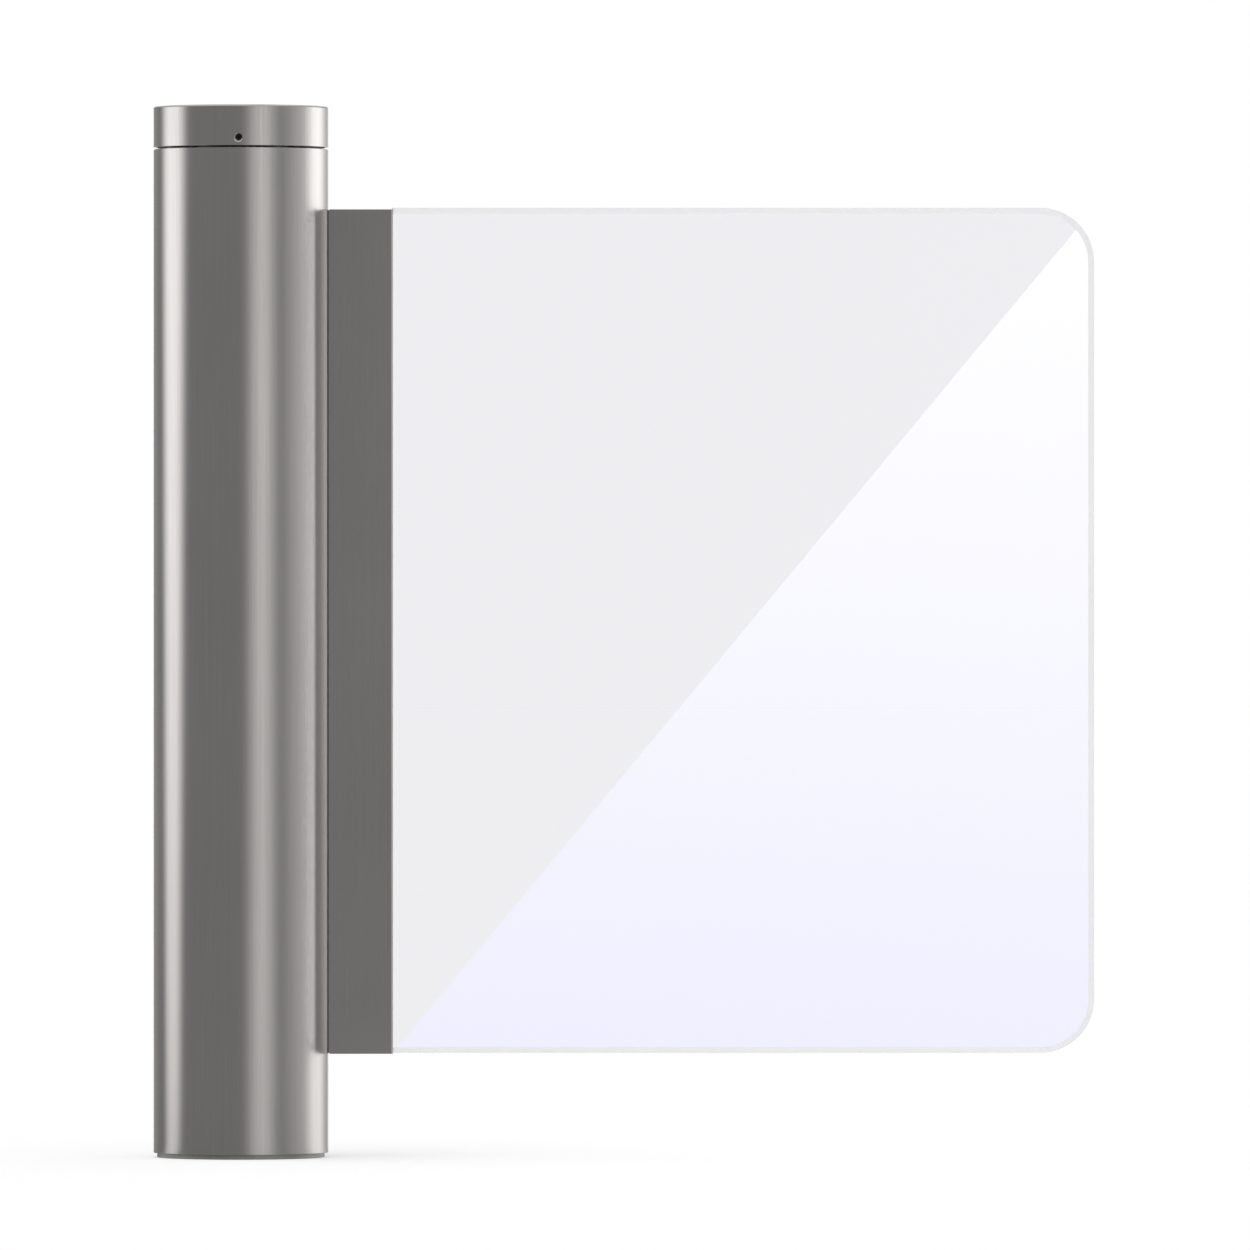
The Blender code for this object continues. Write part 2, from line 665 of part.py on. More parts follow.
def counterbore_tool():
    """Drill for a motor screw: its head's seat, and the hole for its shank below."""
    shank = MOTOR_SCREW_OD / 2 + FIT
    head = MOTOR_SCREW_HEAD_OD / 2 + FIT
    seat = MOTOR_SCREW_SEAT - LOWER_DECK_BOTTOM
    profile = [
        (0, DECK_THICKNESS + CUT_OVERRUN),
        (head, DECK_THICKNESS + CUT_OVERRUN),
        (head, seat),
        (shank, seat),
        (shank, -CUT_OVERRUN),
        (0, -CUT_OVERRUN),
    ]
    return turned(profile, SCREW_STEPS)


def lower_deck(parent):
    """The deck on the post's head, bored for the motor's pilot and screws."""
    outlines = [circle(DECK_RADIUS, TURNED_STEPS), circle(MOTOR_PILOT_RADIUS + FIT, TURNED_STEPS)]
    mesh = extruded(outlines, DECK_THICKNESS)
    deck = add("lower_deck", mesh, "zinc_steel", parent, (0, 0, LOWER_DECK_BOTTOM))
    drill_deck(deck, LOWER_DECK_BOTTOM, LOWER_DECK_TOP - DECK_PIN_DEPTH)
    for angle in MOTOR_SCREW_ANGLES:
        cut(deck, counterbore_tool(), polar(MOTOR_SCREW_CIRCLE_RADIUS, angle, LOWER_DECK_BOTTOM))


def stop_face_y():
    """How far the stop sector's end faces lie behind the swing's cross line."""
    return -(STOP_PIN_OD / 2 + STOP_MARGIN + BUFFER_LENGTH + FIT)


def arc(radius, start, end, steps):
    return [
        tuple(polar(radius, start + (end - start) * index / steps).xy) for index in range(steps + 1)
    ]


def upper_deck(parent):
    """The deck over the gears. Its wide front half is the sector that ends the swing."""
    wide = math.asin(-stop_face_y() / STOP_SECTOR_RADIUS)
    narrow = math.asin(-stop_face_y() / DECK_RADIUS)
    half_steps = TURNED_STEPS // 2
    rim = arc(STOP_SECTOR_RADIUS, math.pi + wide, 2 * math.pi - wide, half_steps)
    rim += arc(DECK_RADIUS, -narrow, math.pi + narrow, half_steps)
    mesh = extruded([rim, circle(BUSH_OD / 2 + FIT)], DECK_THICKNESS)
    deck = add("upper_deck", mesh, "zinc_steel", parent, (0, 0, UPPER_DECK_BOTTOM))
    drill_deck(deck, UPPER_DECK_BOTTOM, UPPER_DECK_BOTTOM - CUT_OVERRUN)


def planet_pins(parent):
    """Dowels held between the blind holes of the two decks."""
    bottom = LOWER_DECK_TOP - DECK_PIN_DEPTH + FIT
    length = UPPER_DECK_BOTTOM + DECK_PIN_DEPTH - FIT - bottom
    for number, angle in enumerate(PLANET_ANGLES, 1):
        mesh = cylinder(PLANET_PIN_OD / 2, length)
        place = polar(PLANET_CIRCLE_RADIUS, angle, bottom)
        add(f"planet_pin_{number}", mesh, "bearing_steel", parent, place)


def deck_spacers(parent):
    length = UPPER_DECK_BOTTOM - LOWER_DECK_TOP - 2 * FIT
    outlines = [circle(SPACER_OD / 2), circle(STACK_SCREW_OD / 2 + FIT, SCREW_STEPS)]
    for number, angle in enumerate(STACK_ANGLES, 1):
        place = polar(STACK_CIRCLE_RADIUS, angle, LOWER_DECK_TOP + FIT)
        add(f"deck_spacer_{number}", extruded(outlines, length), "zinc_steel", parent, place)


def stack_screws(parent):
    """Long screws through the spigot's flange, both decks and the spacers into the post's head."""
    seat = SPIGOT_BOTTOM + SPIGOT_FLANGE_THICKNESS + FIT
    shank = seat - (POST_TOP - HEAD_THICKNESS)
    profile = [
        (0, shank + STACK_HEAD_HEIGHT),
        (STACK_HEAD_OD / 2, shank + STACK_HEAD_HEIGHT),
        (STACK_HEAD_OD / 2, shank),
        (STACK_SCREW_OD / 2, shank),
        (STACK_SCREW_OD / 2, 0),
        (0, 0),
    ]
    for number, angle in enumerate(STACK_ANGLES, 1):
        place = polar(STACK_CIRCLE_RADIUS, angle, seat - shank)
        add(f"stack_screw_{number}", turned(profile, SCREW_STEPS), "black_steel", parent, place)


def shaft_bush(parent):
    """Bronze bush in the upper deck that steadies the motor shaft's top."""
    outlines = [circle(BUSH_OD / 2), circle(SHAFT_OD / 2 + FIT)]
    mesh = extruded(outlines, DECK_THICKNESS)
    add("shaft_bush", mesh, "bronze", parent, (0, 0, UPPER_DECK_BOTTOM))


def stop_buffers(parent):
    """Rubber buffers on the end faces of the stop sector."""
    offset = STOP_SECTOR_RADIUS - BUFFER_OD / 2 - BUFFER_INSET
    height = UPPER_DECK_BOTTOM + DECK_THICKNESS / 2
    for number, side in enumerate((1, -1), 1):
        mesh = cylinder(BUFFER_OD / 2, BUFFER_LENGTH)
        place = (side * offset, stop_face_y() + FIT, height)
        add(f"stop_buffer_{number}", mesh, "rubber", parent, place, ALONG_Y)


def stop_pin(parent):
    """Pin in the ring gear that meets a buffer at each end of the swing."""
    bottom = STAGE_TOP - STOP_PIN_DEPTH + FIT
    length = UPPER_DECK_TOP + STOP_PIN_RISE - bottom
    mesh = cylinder(STOP_PIN_OD / 2, length, SCREW_STEPS)
    add("stop_pin", mesh, "bearing_steel", parent, (0, STOP_PIN_RADIUS, bottom))


# Drive

def motor(parent):
    """Gearmotor with its wider gearhead on top, a pilot, and a socket for the shaft."""
    socket_radius = SHAFT_OD / 2 + FIT
    socket_bottom = MOTOR_LENGTH - MOTOR_SOCKET_DEPTH
    gearhead_bottom = MOTOR_LENGTH - GEARHEAD_LENGTH
    can_radius = MOTOR_RADIUS - GEARHEAD_STEP
    profile = [
        (0, socket_bottom),
        (socket_radius, socket_bottom),
        (socket_radius, MOTOR_LENGTH + MOTOR_PILOT_HEIGHT),
        (MOTOR_PILOT_RADIUS, MOTOR_LENGTH + MOTOR_PILOT_HEIGHT),
        (MOTOR_PILOT_RADIUS, MOTOR_LENGTH),
        (MOTOR_RADIUS, MOTOR_LENGTH),
        (MOTOR_RADIUS, gearhead_bottom),
        (can_radius, gearhead_bottom),
        (can_radius, 0),
        (0, 0),
    ]
    housing = add("motor", turned(profile), "dark_housing", parent, (0, 0, MOTOR_BOTTOM))
    depth = MOTOR_SCREW_REACH + FIT
    for angle in MOTOR_SCREW_ANGLES:
        place = polar(MOTOR_SCREW_CIRCLE_RADIUS, angle, MOTOR_TOP - depth)
        drill(housing, MOTOR_SCREW_OD / 2 + FIT, place, depth + CUT_OVERRUN, SCREW_STEPS)


def motor_screws(parent):
    """Screws through the lower deck into the motor's face, with their heads sunk in the deck."""
    bottom = MOTOR_TOP - MOTOR_SCREW_REACH
    shank = MOTOR_SCREW_SEAT + FIT - bottom
    profile = [
        (0, shank + MOTOR_SCREW_HEAD_HEIGHT),
        (MOTOR_SCREW_HEAD_OD / 2, shank + MOTOR_SCREW_HEAD_HEIGHT),
        (MOTOR_SCREW_HEAD_OD / 2, shank),
        (MOTOR_SCREW_OD / 2, shank),
        (MOTOR_SCREW_OD / 2, 0),
        (0, 0),
    ]
    for number, angle in enumerate(MOTOR_SCREW_ANGLES, 1):
        place = polar(MOTOR_SCREW_CIRCLE_RADIUS, angle, bottom)
        add(f"motor_screw_{number}", turned(profile, SCREW_STEPS), "black_steel", parent, place)


def brake(parent):
    """Holding brake under the motor, with the encoder's cover below it."""
    length = BRAKE_LENGTH + ENCODER_LENGTH
    profile = [
        (0, length),
        (BRAKE_RADIUS, length),
        (BRAKE_RADIUS, ENCODER_LENGTH),
        (ENCODER_RADIUS, ENCODER_LENGTH),
        (ENCODER_RADIUS, 0),
        (0, 0),
    ]
    add("brake", turned(profile), "dark_housing", parent, (0, 0, MOTOR_BOTTOM - FIT - length))


def motor_shaft(parent):
    bottom = MOTOR_TOP - MOTOR_SOCKET_DEPTH + FIT
    length = UPPER_DECK_TOP - bottom
    add("motor_shaft", cylinder(SHAFT_OD / 2, length), "bearing_steel", parent, (0, 0, bottom))


# Top of the column

def top_spigot(parent):
    """Flanged tube on the upper deck that carries the guide bush and the cap's carrier."""
    length = SPIGOT_TOP - SPIGOT_BOTTOM
    profile = [
        (POST_RADIUS, length),
        (POST_RADIUS, SPIGOT_FLANGE_THICKNESS),
        (FLANGE_RADIUS, SPIGOT_FLANGE_THICKNESS),
        (FLANGE_RADIUS, 0),
        (SPIGOT_BORE_RADIUS, 0),
        (SPIGOT_BORE_RADIUS, length),
    ]
    spigot = add("top_spigot", turned(profile), "zinc_steel", parent, (0, 0, SPIGOT_BOTTOM))
    depth = SPIGOT_FLANGE_THICKNESS + 2 * CUT_OVERRUN
    for angle in STACK_ANGLES:
        place = polar(STACK_CIRCLE_RADIUS, angle, SPIGOT_BOTTOM - CUT_OVERRUN)
        drill(spigot, STACK_SCREW_OD / 2 + FIT, place, depth, SCREW_STEPS)


def radial_turn(angle):
    """Rotation that points a piece's Z outward from the column at an angle."""
    return (0, math.pi / 2, angle)


def cap_carrier(parent):
    """Disc that plugs into the spigot and takes the cap's grub screws in its rim."""
    rim = CAP_BORE_RADIUS - FIT
    boss = SPIGOT_BORE_RADIUS - FIT
    bore = boss - CARRIER_BOSS_WALL
    profile = [
        (rim, CARRIER_THICKNESS),
        (rim, 0),
        (boss, 0),
        (boss, -CARRIER_BOSS_DEPTH),
        (bore, -CARRIER_BOSS_DEPTH),
        (bore, CARRIER_THICKNESS),
    ]
    carrier = add("cap_carrier", turned(profile), "zinc_steel", parent, (0, 0, CARRIER_BOTTOM))
    start = SLEEVE_RADIUS - CAP_SCREW_RECESS - CAP_SCREW_LENGTH - FIT
    for angle in CAP_SCREW_ANGLES:
        place = polar(start, angle, CAP_SCREW_HEIGHT)
        depth = SLEEVE_RADIUS - start
        drill(carrier, CAP_SCREW_OD / 2 + FIT, place, depth, SCREW_STEPS, radial_turn(angle))


def cap(parent):
    """Lid of the column: a shell with a softly rounded rim and three screw holes in its skirt."""
    rim = SLEEVE_RADIUS - CAP_EDGE_RADIUS
    shoulder = CAP_HEIGHT - CAP_EDGE_RADIUS
    profile = [(0, CAP_HEIGHT)]
    for index in range(CAP_EDGE_POINTS):
        angle = math.pi / 2 * (1 - index / (CAP_EDGE_POINTS - 1))
        radius = rim + CAP_EDGE_RADIUS * math.cos(angle)
        profile.append((radius, shoulder + CAP_EDGE_RADIUS * math.sin(angle)))
    profile += [
        (SLEEVE_RADIUS, 0),
        (CAP_BORE_RADIUS, 0),
        (CAP_BORE_RADIUS, CAP_HEIGHT - CAP_WALL),
        (0, CAP_HEIGHT - CAP_WALL),
    ]
    lid = add("cap", turned(profile, SLEEVE_STEPS), "satin_steel", parent, (0, 0, CAP_BOTTOM))
    for angle in CAP_SCREW_ANGLES:
        place = polar(CAP_BORE_RADIUS - CUT_OVERRUN, angle, CAP_SCREW_HEIGHT)
        cut(lid, countersunk_tool(), place, radial_turn(angle))


def countersunk_tool():
    """Drill for a cap screw's hole, with a small countersink at the skirt's surface."""
    hole = CAP_SCREW_OD / 2 + FIT
    flare = CUT_OVERRUN + CAP_WALL - CAP_HOLE_RIM
    profile = [
        (0, flare + CUT_OVERRUN),
        (hole + CUT_OVERRUN, flare + CUT_OVERRUN),
        (hole, flare),
        (hole, 0),
        (0, 0),
    ]
    return turned(profile, PIN_STEPS)


def cap_screws(parent):
    """Recessed grub screws with a hexagonal socket in their outer end."""
    start = SLEEVE_RADIUS - CAP_SCREW_RECESS - CAP_SCREW_LENGTH
    for number, angle in enumerate(CAP_SCREW_ANGLES, 1):
        mesh = cylinder(CAP_SCREW_OD / 2, CAP_SCREW_LENGTH, SCREW_STEPS)
        place = polar(start, angle, CAP_SCREW_HEIGHT)
        screw = add(f"cap_screw_{number}", mesh, "black_steel", parent, place, radial_turn(angle))
        socket = polar(start + CAP_SCREW_LENGTH - HEX_SOCKET_DEPTH, angle, CAP_SCREW_HEIGHT)
        depth = HEX_SOCKET_DEPTH + CUT_OVERRUN
        drill(screw, HEX_SOCKET / 2, socket, depth, HEX_SIDES, radial_turn(angle))


# Control board

def board_plate(parent):
    """Plate along the front of the post, with four standoffs."""
    back = -POST_RADIUS - FIT
    front = back - BOARD_PLATE_THICKNESS
    half = BOARD_PLATE_WIDTH / 2
    top = BOARD_PLATE_BOTTOM + BOARD_PLATE_LENGTH
    mesh = box((-half, front, BOARD_PLATE_BOTTOM), (half, back, top))
    plate = add("board_plate", mesh, "zinc_steel", parent)
    root = BOARD_PLATE_THICKNESS / 2
    across = BOARD_WIDTH / 2 - STANDOFF_INSET
    middle = BOARD_PLATE_BOTTOM + BOARD_PLATE_LENGTH / 2
    along = BOARD_LENGTH / 2 - STANDOFF_INSET
    for x in (-across, across):
        for z in (middle - along, middle + along):
            standoff = cylinder(STANDOFF_OD / 2, STANDOFF_HEIGHT + root, SCREW_STEPS)
            join(plate, standoff, (x, front + root, z), AGAINST_Y)


def control_board(parent):
    back = -POST_RADIUS - 2 * FIT - BOARD_PLATE_THICKNESS - STANDOFF_HEIGHT
    front = back - BOARD_THICKNESS
    middle = BOARD_PLATE_BOTTOM + BOARD_PLATE_LENGTH / 2
    low = (-BOARD_WIDTH / 2, front, middle - BOARD_LENGTH / 2)
    high = (BOARD_WIDTH / 2, back, middle + BOARD_LENGTH / 2)
    board = add("control_board", box(low, high), "board_green", parent)
    inner = front + BOARD_THICKNESS / 2
    for across, up, width, length, height in COMPONENT_SHARES:
        x = across * BOARD_WIDTH
        z = middle + up * BOARD_LENGTH
        half_width = width * BOARD_WIDTH / 2
        half_length = length * BOARD_LENGTH / 2
        outer = front - height * COMPONENT_HEIGHT
        low = (x - half_width, outer, z - half_length)
        high = (x + half_width, inner, z + half_length)
        join(board, box(low, high))


# Turning sleeve

def sleeve_tube(parent):
    profile = [
        (SLEEVE_RADIUS, SLEEVE_LENGTH),
        (SLEEVE_RADIUS, 0),
        (SLEEVE_BORE_RADIUS, 0),
        (SLEEVE_BORE_RADIUS, SLEEVE_LENGTH),
    ]
    add("sleeve_tube", turned(profile, SLEEVE_STEPS), "satin_steel", parent, (0, 0, FLOOR_GAP))


def lower_hub(parent):
    """Ring in the sleeve whose lip hangs the sleeve's weight on the bearing."""
    outer = SLEEVE_INSERT_RADIUS
    seat = BEARING_RADIUS + FIT
    lip = BEARING_RADIUS - HUB_LIP_WIDTH
    lip_bottom = BEARING_WIDTH + FIT
    profile = [
        (outer, lip_bottom + HUB_LIP_HEIGHT),
        (outer, -HUB_MARGIN),
        (seat, -HUB_MARGIN),
        (seat, lip_bottom),
        (lip, lip_bottom),
        (lip, lip_bottom + HUB_LIP_HEIGHT),
    ]
    add("lower_hub", turned(profile), "zinc_steel", parent, (0, 0, BEARING_BOTTOM))


def upper_hub(parent):
    """Ring in the sleeve that holds the guide bush, on a lip."""
    outer = SLEEVE_INSERT_RADIUS
    seat = GUIDE_OUTER_RADIUS + FIT
    lip = seat - GUIDE_LIP_WIDTH
    profile = [
        (outer, GUIDE_HEIGHT),
        (outer, -FIT - GUIDE_LIP_HEIGHT),
        (lip, -FIT - GUIDE_LIP_HEIGHT),
        (lip, -FIT),
        (seat, -FIT),
        (seat, GUIDE_HEIGHT),
    ]
    add("upper_hub", turned(profile), "zinc_steel", parent, (0, 0, GUIDE_BOTTOM))


def guide_bush(parent):
    """Polymer ring in the upper hub, which turns round the spigot."""
    profile = [
        (GUIDE_OUTER_RADIUS, GUIDE_HEIGHT),
        (GUIDE_OUTER_RADIUS, 0),
        (GUIDE_INNER_RADIUS, 0),
        (GUIDE_INNER_RADIUS, GUIDE_HEIGHT),
    ]
    add("guide_bush", turned(profile), "polymer", parent, (0, 0, GUIDE_BOTTOM))


# Clamp bracket and panel

def clamp_heights():
    """Heights of the clamp screws, in equal steps along the bracket."""
    span = BRACKET_TOP - BRACKET_BOTTOM - 2 * CLAMP_END_MARGIN
    step = span / (CLAMP_COUNT - 1)
    return [BRACKET_BOTTOM + CLAMP_END_MARGIN + step * index for index in range(CLAMP_COUNT)]


def bracket_plate(name, parent, inner_y, outer_y):
    """One flat leaf of the bracket, with softly rounded edges."""
    low = (BRACKET_INNER_X, min(inner_y, outer_y), BRACKET_BOTTOM)
    high = (BRACKET_OUTER_X, max(inner_y, outer_y), BRACKET_TOP)
    plate = add(name, box(low, high), "satin_steel", parent)
    bevel = plate.modifiers.new("edges", "BEVEL")
    bevel.width = PLATE_EDGE
    bevel.segments = PLATE_EDGE_SEGMENTS
    return plate


def bracket_plates(parent):
    bracket_plate("bracket_front_plate", parent, -CAVITY_HALF, -CAVITY_HALF - PLATE_THICKNESS)
    rear = bracket_plate("bracket_rear_plate", parent, CAVITY_HALF, CAVITY_HALF + PLATE_THICKNESS)
    for height in clamp_heights():
        place = (CLAMP_X, CAVITY_HALF - CUT_OVERRUN, height)
        depth = PLATE_THICKNESS + 2 * CUT_OVERRUN
        drill(rear, CLAMP_SCREW_OD / 2 + FIT, place, depth, SCREW_STEPS, ALONG_Y)


def bracket_spine(parent):
    """Bar welded between the leaves, against the sleeve."""
    half = CAVITY_HALF - FIT
    low = (BRACKET_INNER_X, -half, BRACKET_BOTTOM + GASKET_INSET)
    high = (SPINE_OUTER_X, half, BRACKET_TOP - GASKET_INSET)
    add("bracket_spine", box(low, high), "satin_steel", parent)


def gaskets(parent):
    """Rubber strips on both sides of the panel, inside the leaves."""
    for name, side in (("gasket_front", -1), ("gasket_rear", 1)):
        inner = side * (PANEL_THICKNESS / 2 + FIT)
        outer = side * (PANEL_THICKNESS / 2 + FIT + GASKET_THICKNESS)
        low = (SPINE_OUTER_X + FIT, min(inner, outer), BRACKET_BOTTOM + GASKET_INSET)
        high = (BRACKET_OUTER_X - GASKET_INSET, max(inner, outer), BRACKET_TOP - GASKET_INSET)
        gasket = add(name, box(low, high), "rubber", parent)
        for height in clamp_heights():
            place = (CLAMP_X, min(inner, outer) - CUT_OVERRUN, height)
            depth = GASKET_THICKNESS + 2 * CUT_OVERRUN
            drill(gasket, BOSS_OD / 2 + FIT, place, depth, SCREW_STEPS, ALONG_Y)


def panel_outline(inset):
    """Panel outline as (x, z) points, drawn in by an inset, with two round outer corners."""
    left = PANEL_INNER_X
    right = WING_REACH - inset
    bottom = PANEL_BOTTOM + inset
    top = PANEL_TOP - inset
    radius = PANEL_CORNER_RADIUS - inset
    points = [(left, top), (left, bottom)]
    for centre_z, start in ((bottom + radius, -math.pi / 2), (top - radius, 0)):
        for index in range(PANEL_CORNER_POINTS):
            angle = start + math.pi / 2 * index / (PANEL_CORNER_POINTS - 1)
            x = right - radius + radius * math.cos(angle)
            points.append((x, centre_z + radius * math.sin(angle)))
    return points


def panel_mesh():
    """Loft the flat front, the ground bands, the edge and the flat back into one body."""
    half = PANEL_THICKNESS / 2
    sections = (
        (PANEL_EDGE_BAND, -half),
        (0, -half + PANEL_EDGE_DEPTH),
        (0, half - PANEL_EDGE_DEPTH),
        (PANEL_EDGE_BAND, half),
    )
    work = bmesh.new()
    rings = []
    for inset, y in sections:
        rings.append([work.verts.new((x, y, z)) for x, z in panel_outline(inset)])
    work.faces.new(rings[0])
    for front, back in zip(rings, rings[1:]):
        count = len(front)
        for index in range(count):
            after = (index + 1) % count
            work.faces.new((front[index], back[index], back[after], front[after]))
    work.faces.new(reversed(rings[-1]))
    bmesh.ops.recalc_face_normals(work, faces=work.faces)
    mesh = bpy.data.meshes.new("panel")
    work.to_mesh(mesh)
    work.free()
    return mesh


def panel(parent):
    sheet = add("panel", panel_mesh(), "clear_acrylic", parent)
    for height in clamp_heights():
        place = (CLAMP_X, -PANEL_THICKNESS / 2 - CUT_OVERRUN, height)
        depth = PANEL_THICKNESS + 2 * CUT_OVERRUN
        drill(sheet, BOSS_OD / 2 + FIT, place, depth, SCREW_STEPS, ALONG_Y)


def clamp_bosses(parent):
    """Threaded bosses behind the front leaf, which pass through the panel."""
    for number, height in enumerate(clamp_heights(), 1):
        mesh = cylinder(BOSS_OD / 2, BOSS_LENGTH, SCREW_STEPS)
        place = (CLAMP_X, -CAVITY_HALF + FIT, height)
        boss = add(f"clamp_boss_{number}", mesh, "satin_steel", parent, place, ALONG_Y)
        hole = (CLAMP_X, CAVITY_HALF - FIT - BOSS_HOLE_DEPTH, height)
        depth = BOSS_HOLE_DEPTH + CUT_OVERRUN
        drill(boss, CLAMP_SCREW_OD / 2 + FIT, hole, depth, SCREW_STEPS, ALONG_Y)


def clamp_screws(parent):
    """Button-head screws through the rear leaf into the bosses."""
    profile = [(0, CLAMP_SCREW_LENGTH + BUTTON_HEAD_HEIGHT)]
    for radius_share, height_share in BUTTON_DOME_SHARES:
        height = CLAMP_SCREW_LENGTH + height_share * BUTTON_HEAD_HEIGHT
        profile.append((radius_share * BUTTON_HEAD_OD / 2, height))
    profile += [
        (CLAMP_SCREW_OD / 2, CLAMP_SCREW_LENGTH),
        (CLAMP_SCREW_OD / 2, 0),
        (0, 0),
    ]
    bottom = CAVITY_HALF + PLATE_THICKNESS + FIT - CLAMP_SCREW_LENGTH
    for number, height in enumerate(clamp_heights(), 1):
        mesh = turned(profile, SCREW_STEPS)
        place = (CLAMP_X, bottom, height)
        add(f"clamp_screw_{number}", mesh, "satin_steel", parent, place, ALONG_Y)


def build_column(fixed):
    base_flange(fixed)
    post(fixed)
    bearing_collar(fixed)
    bearing_inner_ring(fixed)
    bearing_balls(fixed)
    motor(fixed)
    brake(fixed)
    lower_deck(fixed)
    motor_screws(fixed)
    planet_pins(fixed)
    deck_spacers(fixed)
    upper_deck(fixed)
    shaft_bush(fixed)
    stop_buffers(fixed)
    top_spigot(fixed)
    stack_screws(fixed)
    cap_carrier(fixed)
    cap(fixed)
    cap_screws(fixed)
    board_plate(fixed)
    control_board(fixed)


def build_wing(wing):
    sleeve_tube(wing)
    lower_hub(wing)
    bearing_outer_ring(wing)
    ring_gear(wing)
    stop_pin(wing)
    upper_hub(wing)
    guide_bush(wing)
    bracket_plates(wing)
    bracket_spine(wing)
    gaskets(wing)
    panel(wing)
    clamp_bosses(wing)
    clamp_screws(wing)


def build_drive(rotor, planet_axes):
    motor_shaft(rotor)
    sun_gear(rotor)
    planet_gears(planet_axes)


def build():
    build_column(axis_empty("column_axis"))
    build_wing(axis_empty("wing_axis"))
    rotor = axis_empty("rotor_axis", (0, 0, STAGE_BOTTOM))
    planet_axes = [
        axis_empty(f"planet_axis_{number}", polar(PLANET_CIRCLE_RADIUS, angle, STAGE_BOTTOM))
        for number, angle in enumerate(PLANET_ANGLES, 1)
    ]
    build_drive(rotor, planet_axes)


build()
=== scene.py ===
"""Looks of the swing barrier gate: fine visible pieces, materials, stage, lights and camera.

Everything is in metres in the model's own frame: the column's axis is at the origin, the closed
wing points along +X, +Z is up and the photographed face looks along -Y.
"""

import json
import math

import bmesh
import bpy
from mathutils import Matrix, Vector


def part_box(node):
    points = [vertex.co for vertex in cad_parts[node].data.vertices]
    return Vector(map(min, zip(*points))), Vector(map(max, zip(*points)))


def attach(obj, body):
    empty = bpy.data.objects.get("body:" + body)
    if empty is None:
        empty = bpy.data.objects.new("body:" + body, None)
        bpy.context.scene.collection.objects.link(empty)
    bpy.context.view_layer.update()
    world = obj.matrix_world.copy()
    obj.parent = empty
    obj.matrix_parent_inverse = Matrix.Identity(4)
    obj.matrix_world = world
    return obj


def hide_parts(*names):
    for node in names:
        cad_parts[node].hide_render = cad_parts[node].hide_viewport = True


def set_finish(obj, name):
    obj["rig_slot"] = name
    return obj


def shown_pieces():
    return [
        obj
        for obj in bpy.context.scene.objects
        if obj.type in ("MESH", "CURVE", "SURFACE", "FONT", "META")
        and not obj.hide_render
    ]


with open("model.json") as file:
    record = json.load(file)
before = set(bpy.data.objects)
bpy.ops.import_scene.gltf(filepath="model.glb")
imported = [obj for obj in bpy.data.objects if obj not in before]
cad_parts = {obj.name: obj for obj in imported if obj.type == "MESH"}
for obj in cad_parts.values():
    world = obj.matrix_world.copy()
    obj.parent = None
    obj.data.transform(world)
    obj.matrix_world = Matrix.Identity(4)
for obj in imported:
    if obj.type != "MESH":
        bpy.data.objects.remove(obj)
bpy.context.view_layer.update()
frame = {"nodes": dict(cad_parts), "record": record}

MM = 0.001

# Facets, shading and cutting of the fine pieces
COLUMN_STEPS = 256
SCREW_STEPS = 48
HEX_SIDES = 6
SMOOTH_ANGLE = math.radians(32)
FACE_WEIGHT = 100
ROUND_BEVEL = 0.5
OVERRUN = 2.0 * MM
WELD = 0.001 * MM
ALONG_Y = Matrix.Rotation(-math.pi / 2, 4, "X")

# Sleeve, cap and base
TUBE_CHAMFER = 0.35 * MM
SLEEVE_WALL = 3.0 * MM
CAP_WALL = 3.0 * MM
CAP_ROUND = 1.8 * MM
CAP_ROUND_POINTS = 12
BASE_CHAMFER = 0.6 * MM
ANCHOR_HOLE_RADIUS = 6.5 * MM
CABLE_HOLE_RADIUS = 13.0 * MM

# The cap's grub screws and their holes; a hole's mouth is wider than the hole by the flare
CAP_HOLE_RADIUS = 3.4 * MM
CAP_FLARE = 1.0 * MM
CAP_FLARE_SLOPE = math.tan(math.radians(35))
CAP_FLARE_SHIFT = (0.6 * MM, -0.6 * MM, 0.0)
CAP_SCREW_RISE = 8.0 * MM
CAP_SCREW_RADIUS = 3.0 * MM
CAP_SCREW_LENGTH = 8.0 * MM
CAP_SCREW_RECESS = 1.2 * MM
CAP_SCREW_ANGLES = [math.radians(degrees) for degrees in (-90, 30, 150)]
SOCKET_RADIUS = 1.75 * MM
SOCKET_DEPTH = 3.4 * MM

# Leaves and spine of the bracket
LEAF_BEVEL = 0.5 * MM
LEAF_SEGMENTS = 3
LEAF_SOFT_EDGE = 1.6 * MM
LEAF_SOFT_SEGMENTS = 12
LEAF_SETBACK = 0.6 * MM
SPINE_SEAT_GAP = 0.05 * MM
SPINE_ROUND = 0.5 * MM
SPINE_POINTS = 12

# Clamp screws; the crown is the flat middle of a button head, as a share of its radius
CLAMP_SCREW_COUNT = 4
CLAMP_SHANK_RADIUS = 2.5 * MM
CLAMP_HOLE_GAP = 0.3 * MM
CLAMP_TIP = 0.5 * MM
BUTTON_RADIUS = 4.75 * MM
BUTTON_HEIGHT = 2.7 * MM
BUTTON_RIM = 0.4 * MM
BUTTON_CROWN = 0.45
BUTTON_DOME_ANGLE = math.radians(62)
BUTTON_POINTS = 9
BUTTON_SOCKET_RADIUS = 1.85 * MM
BUTTON_SOCKET_DEPTH = 1.6 * MM

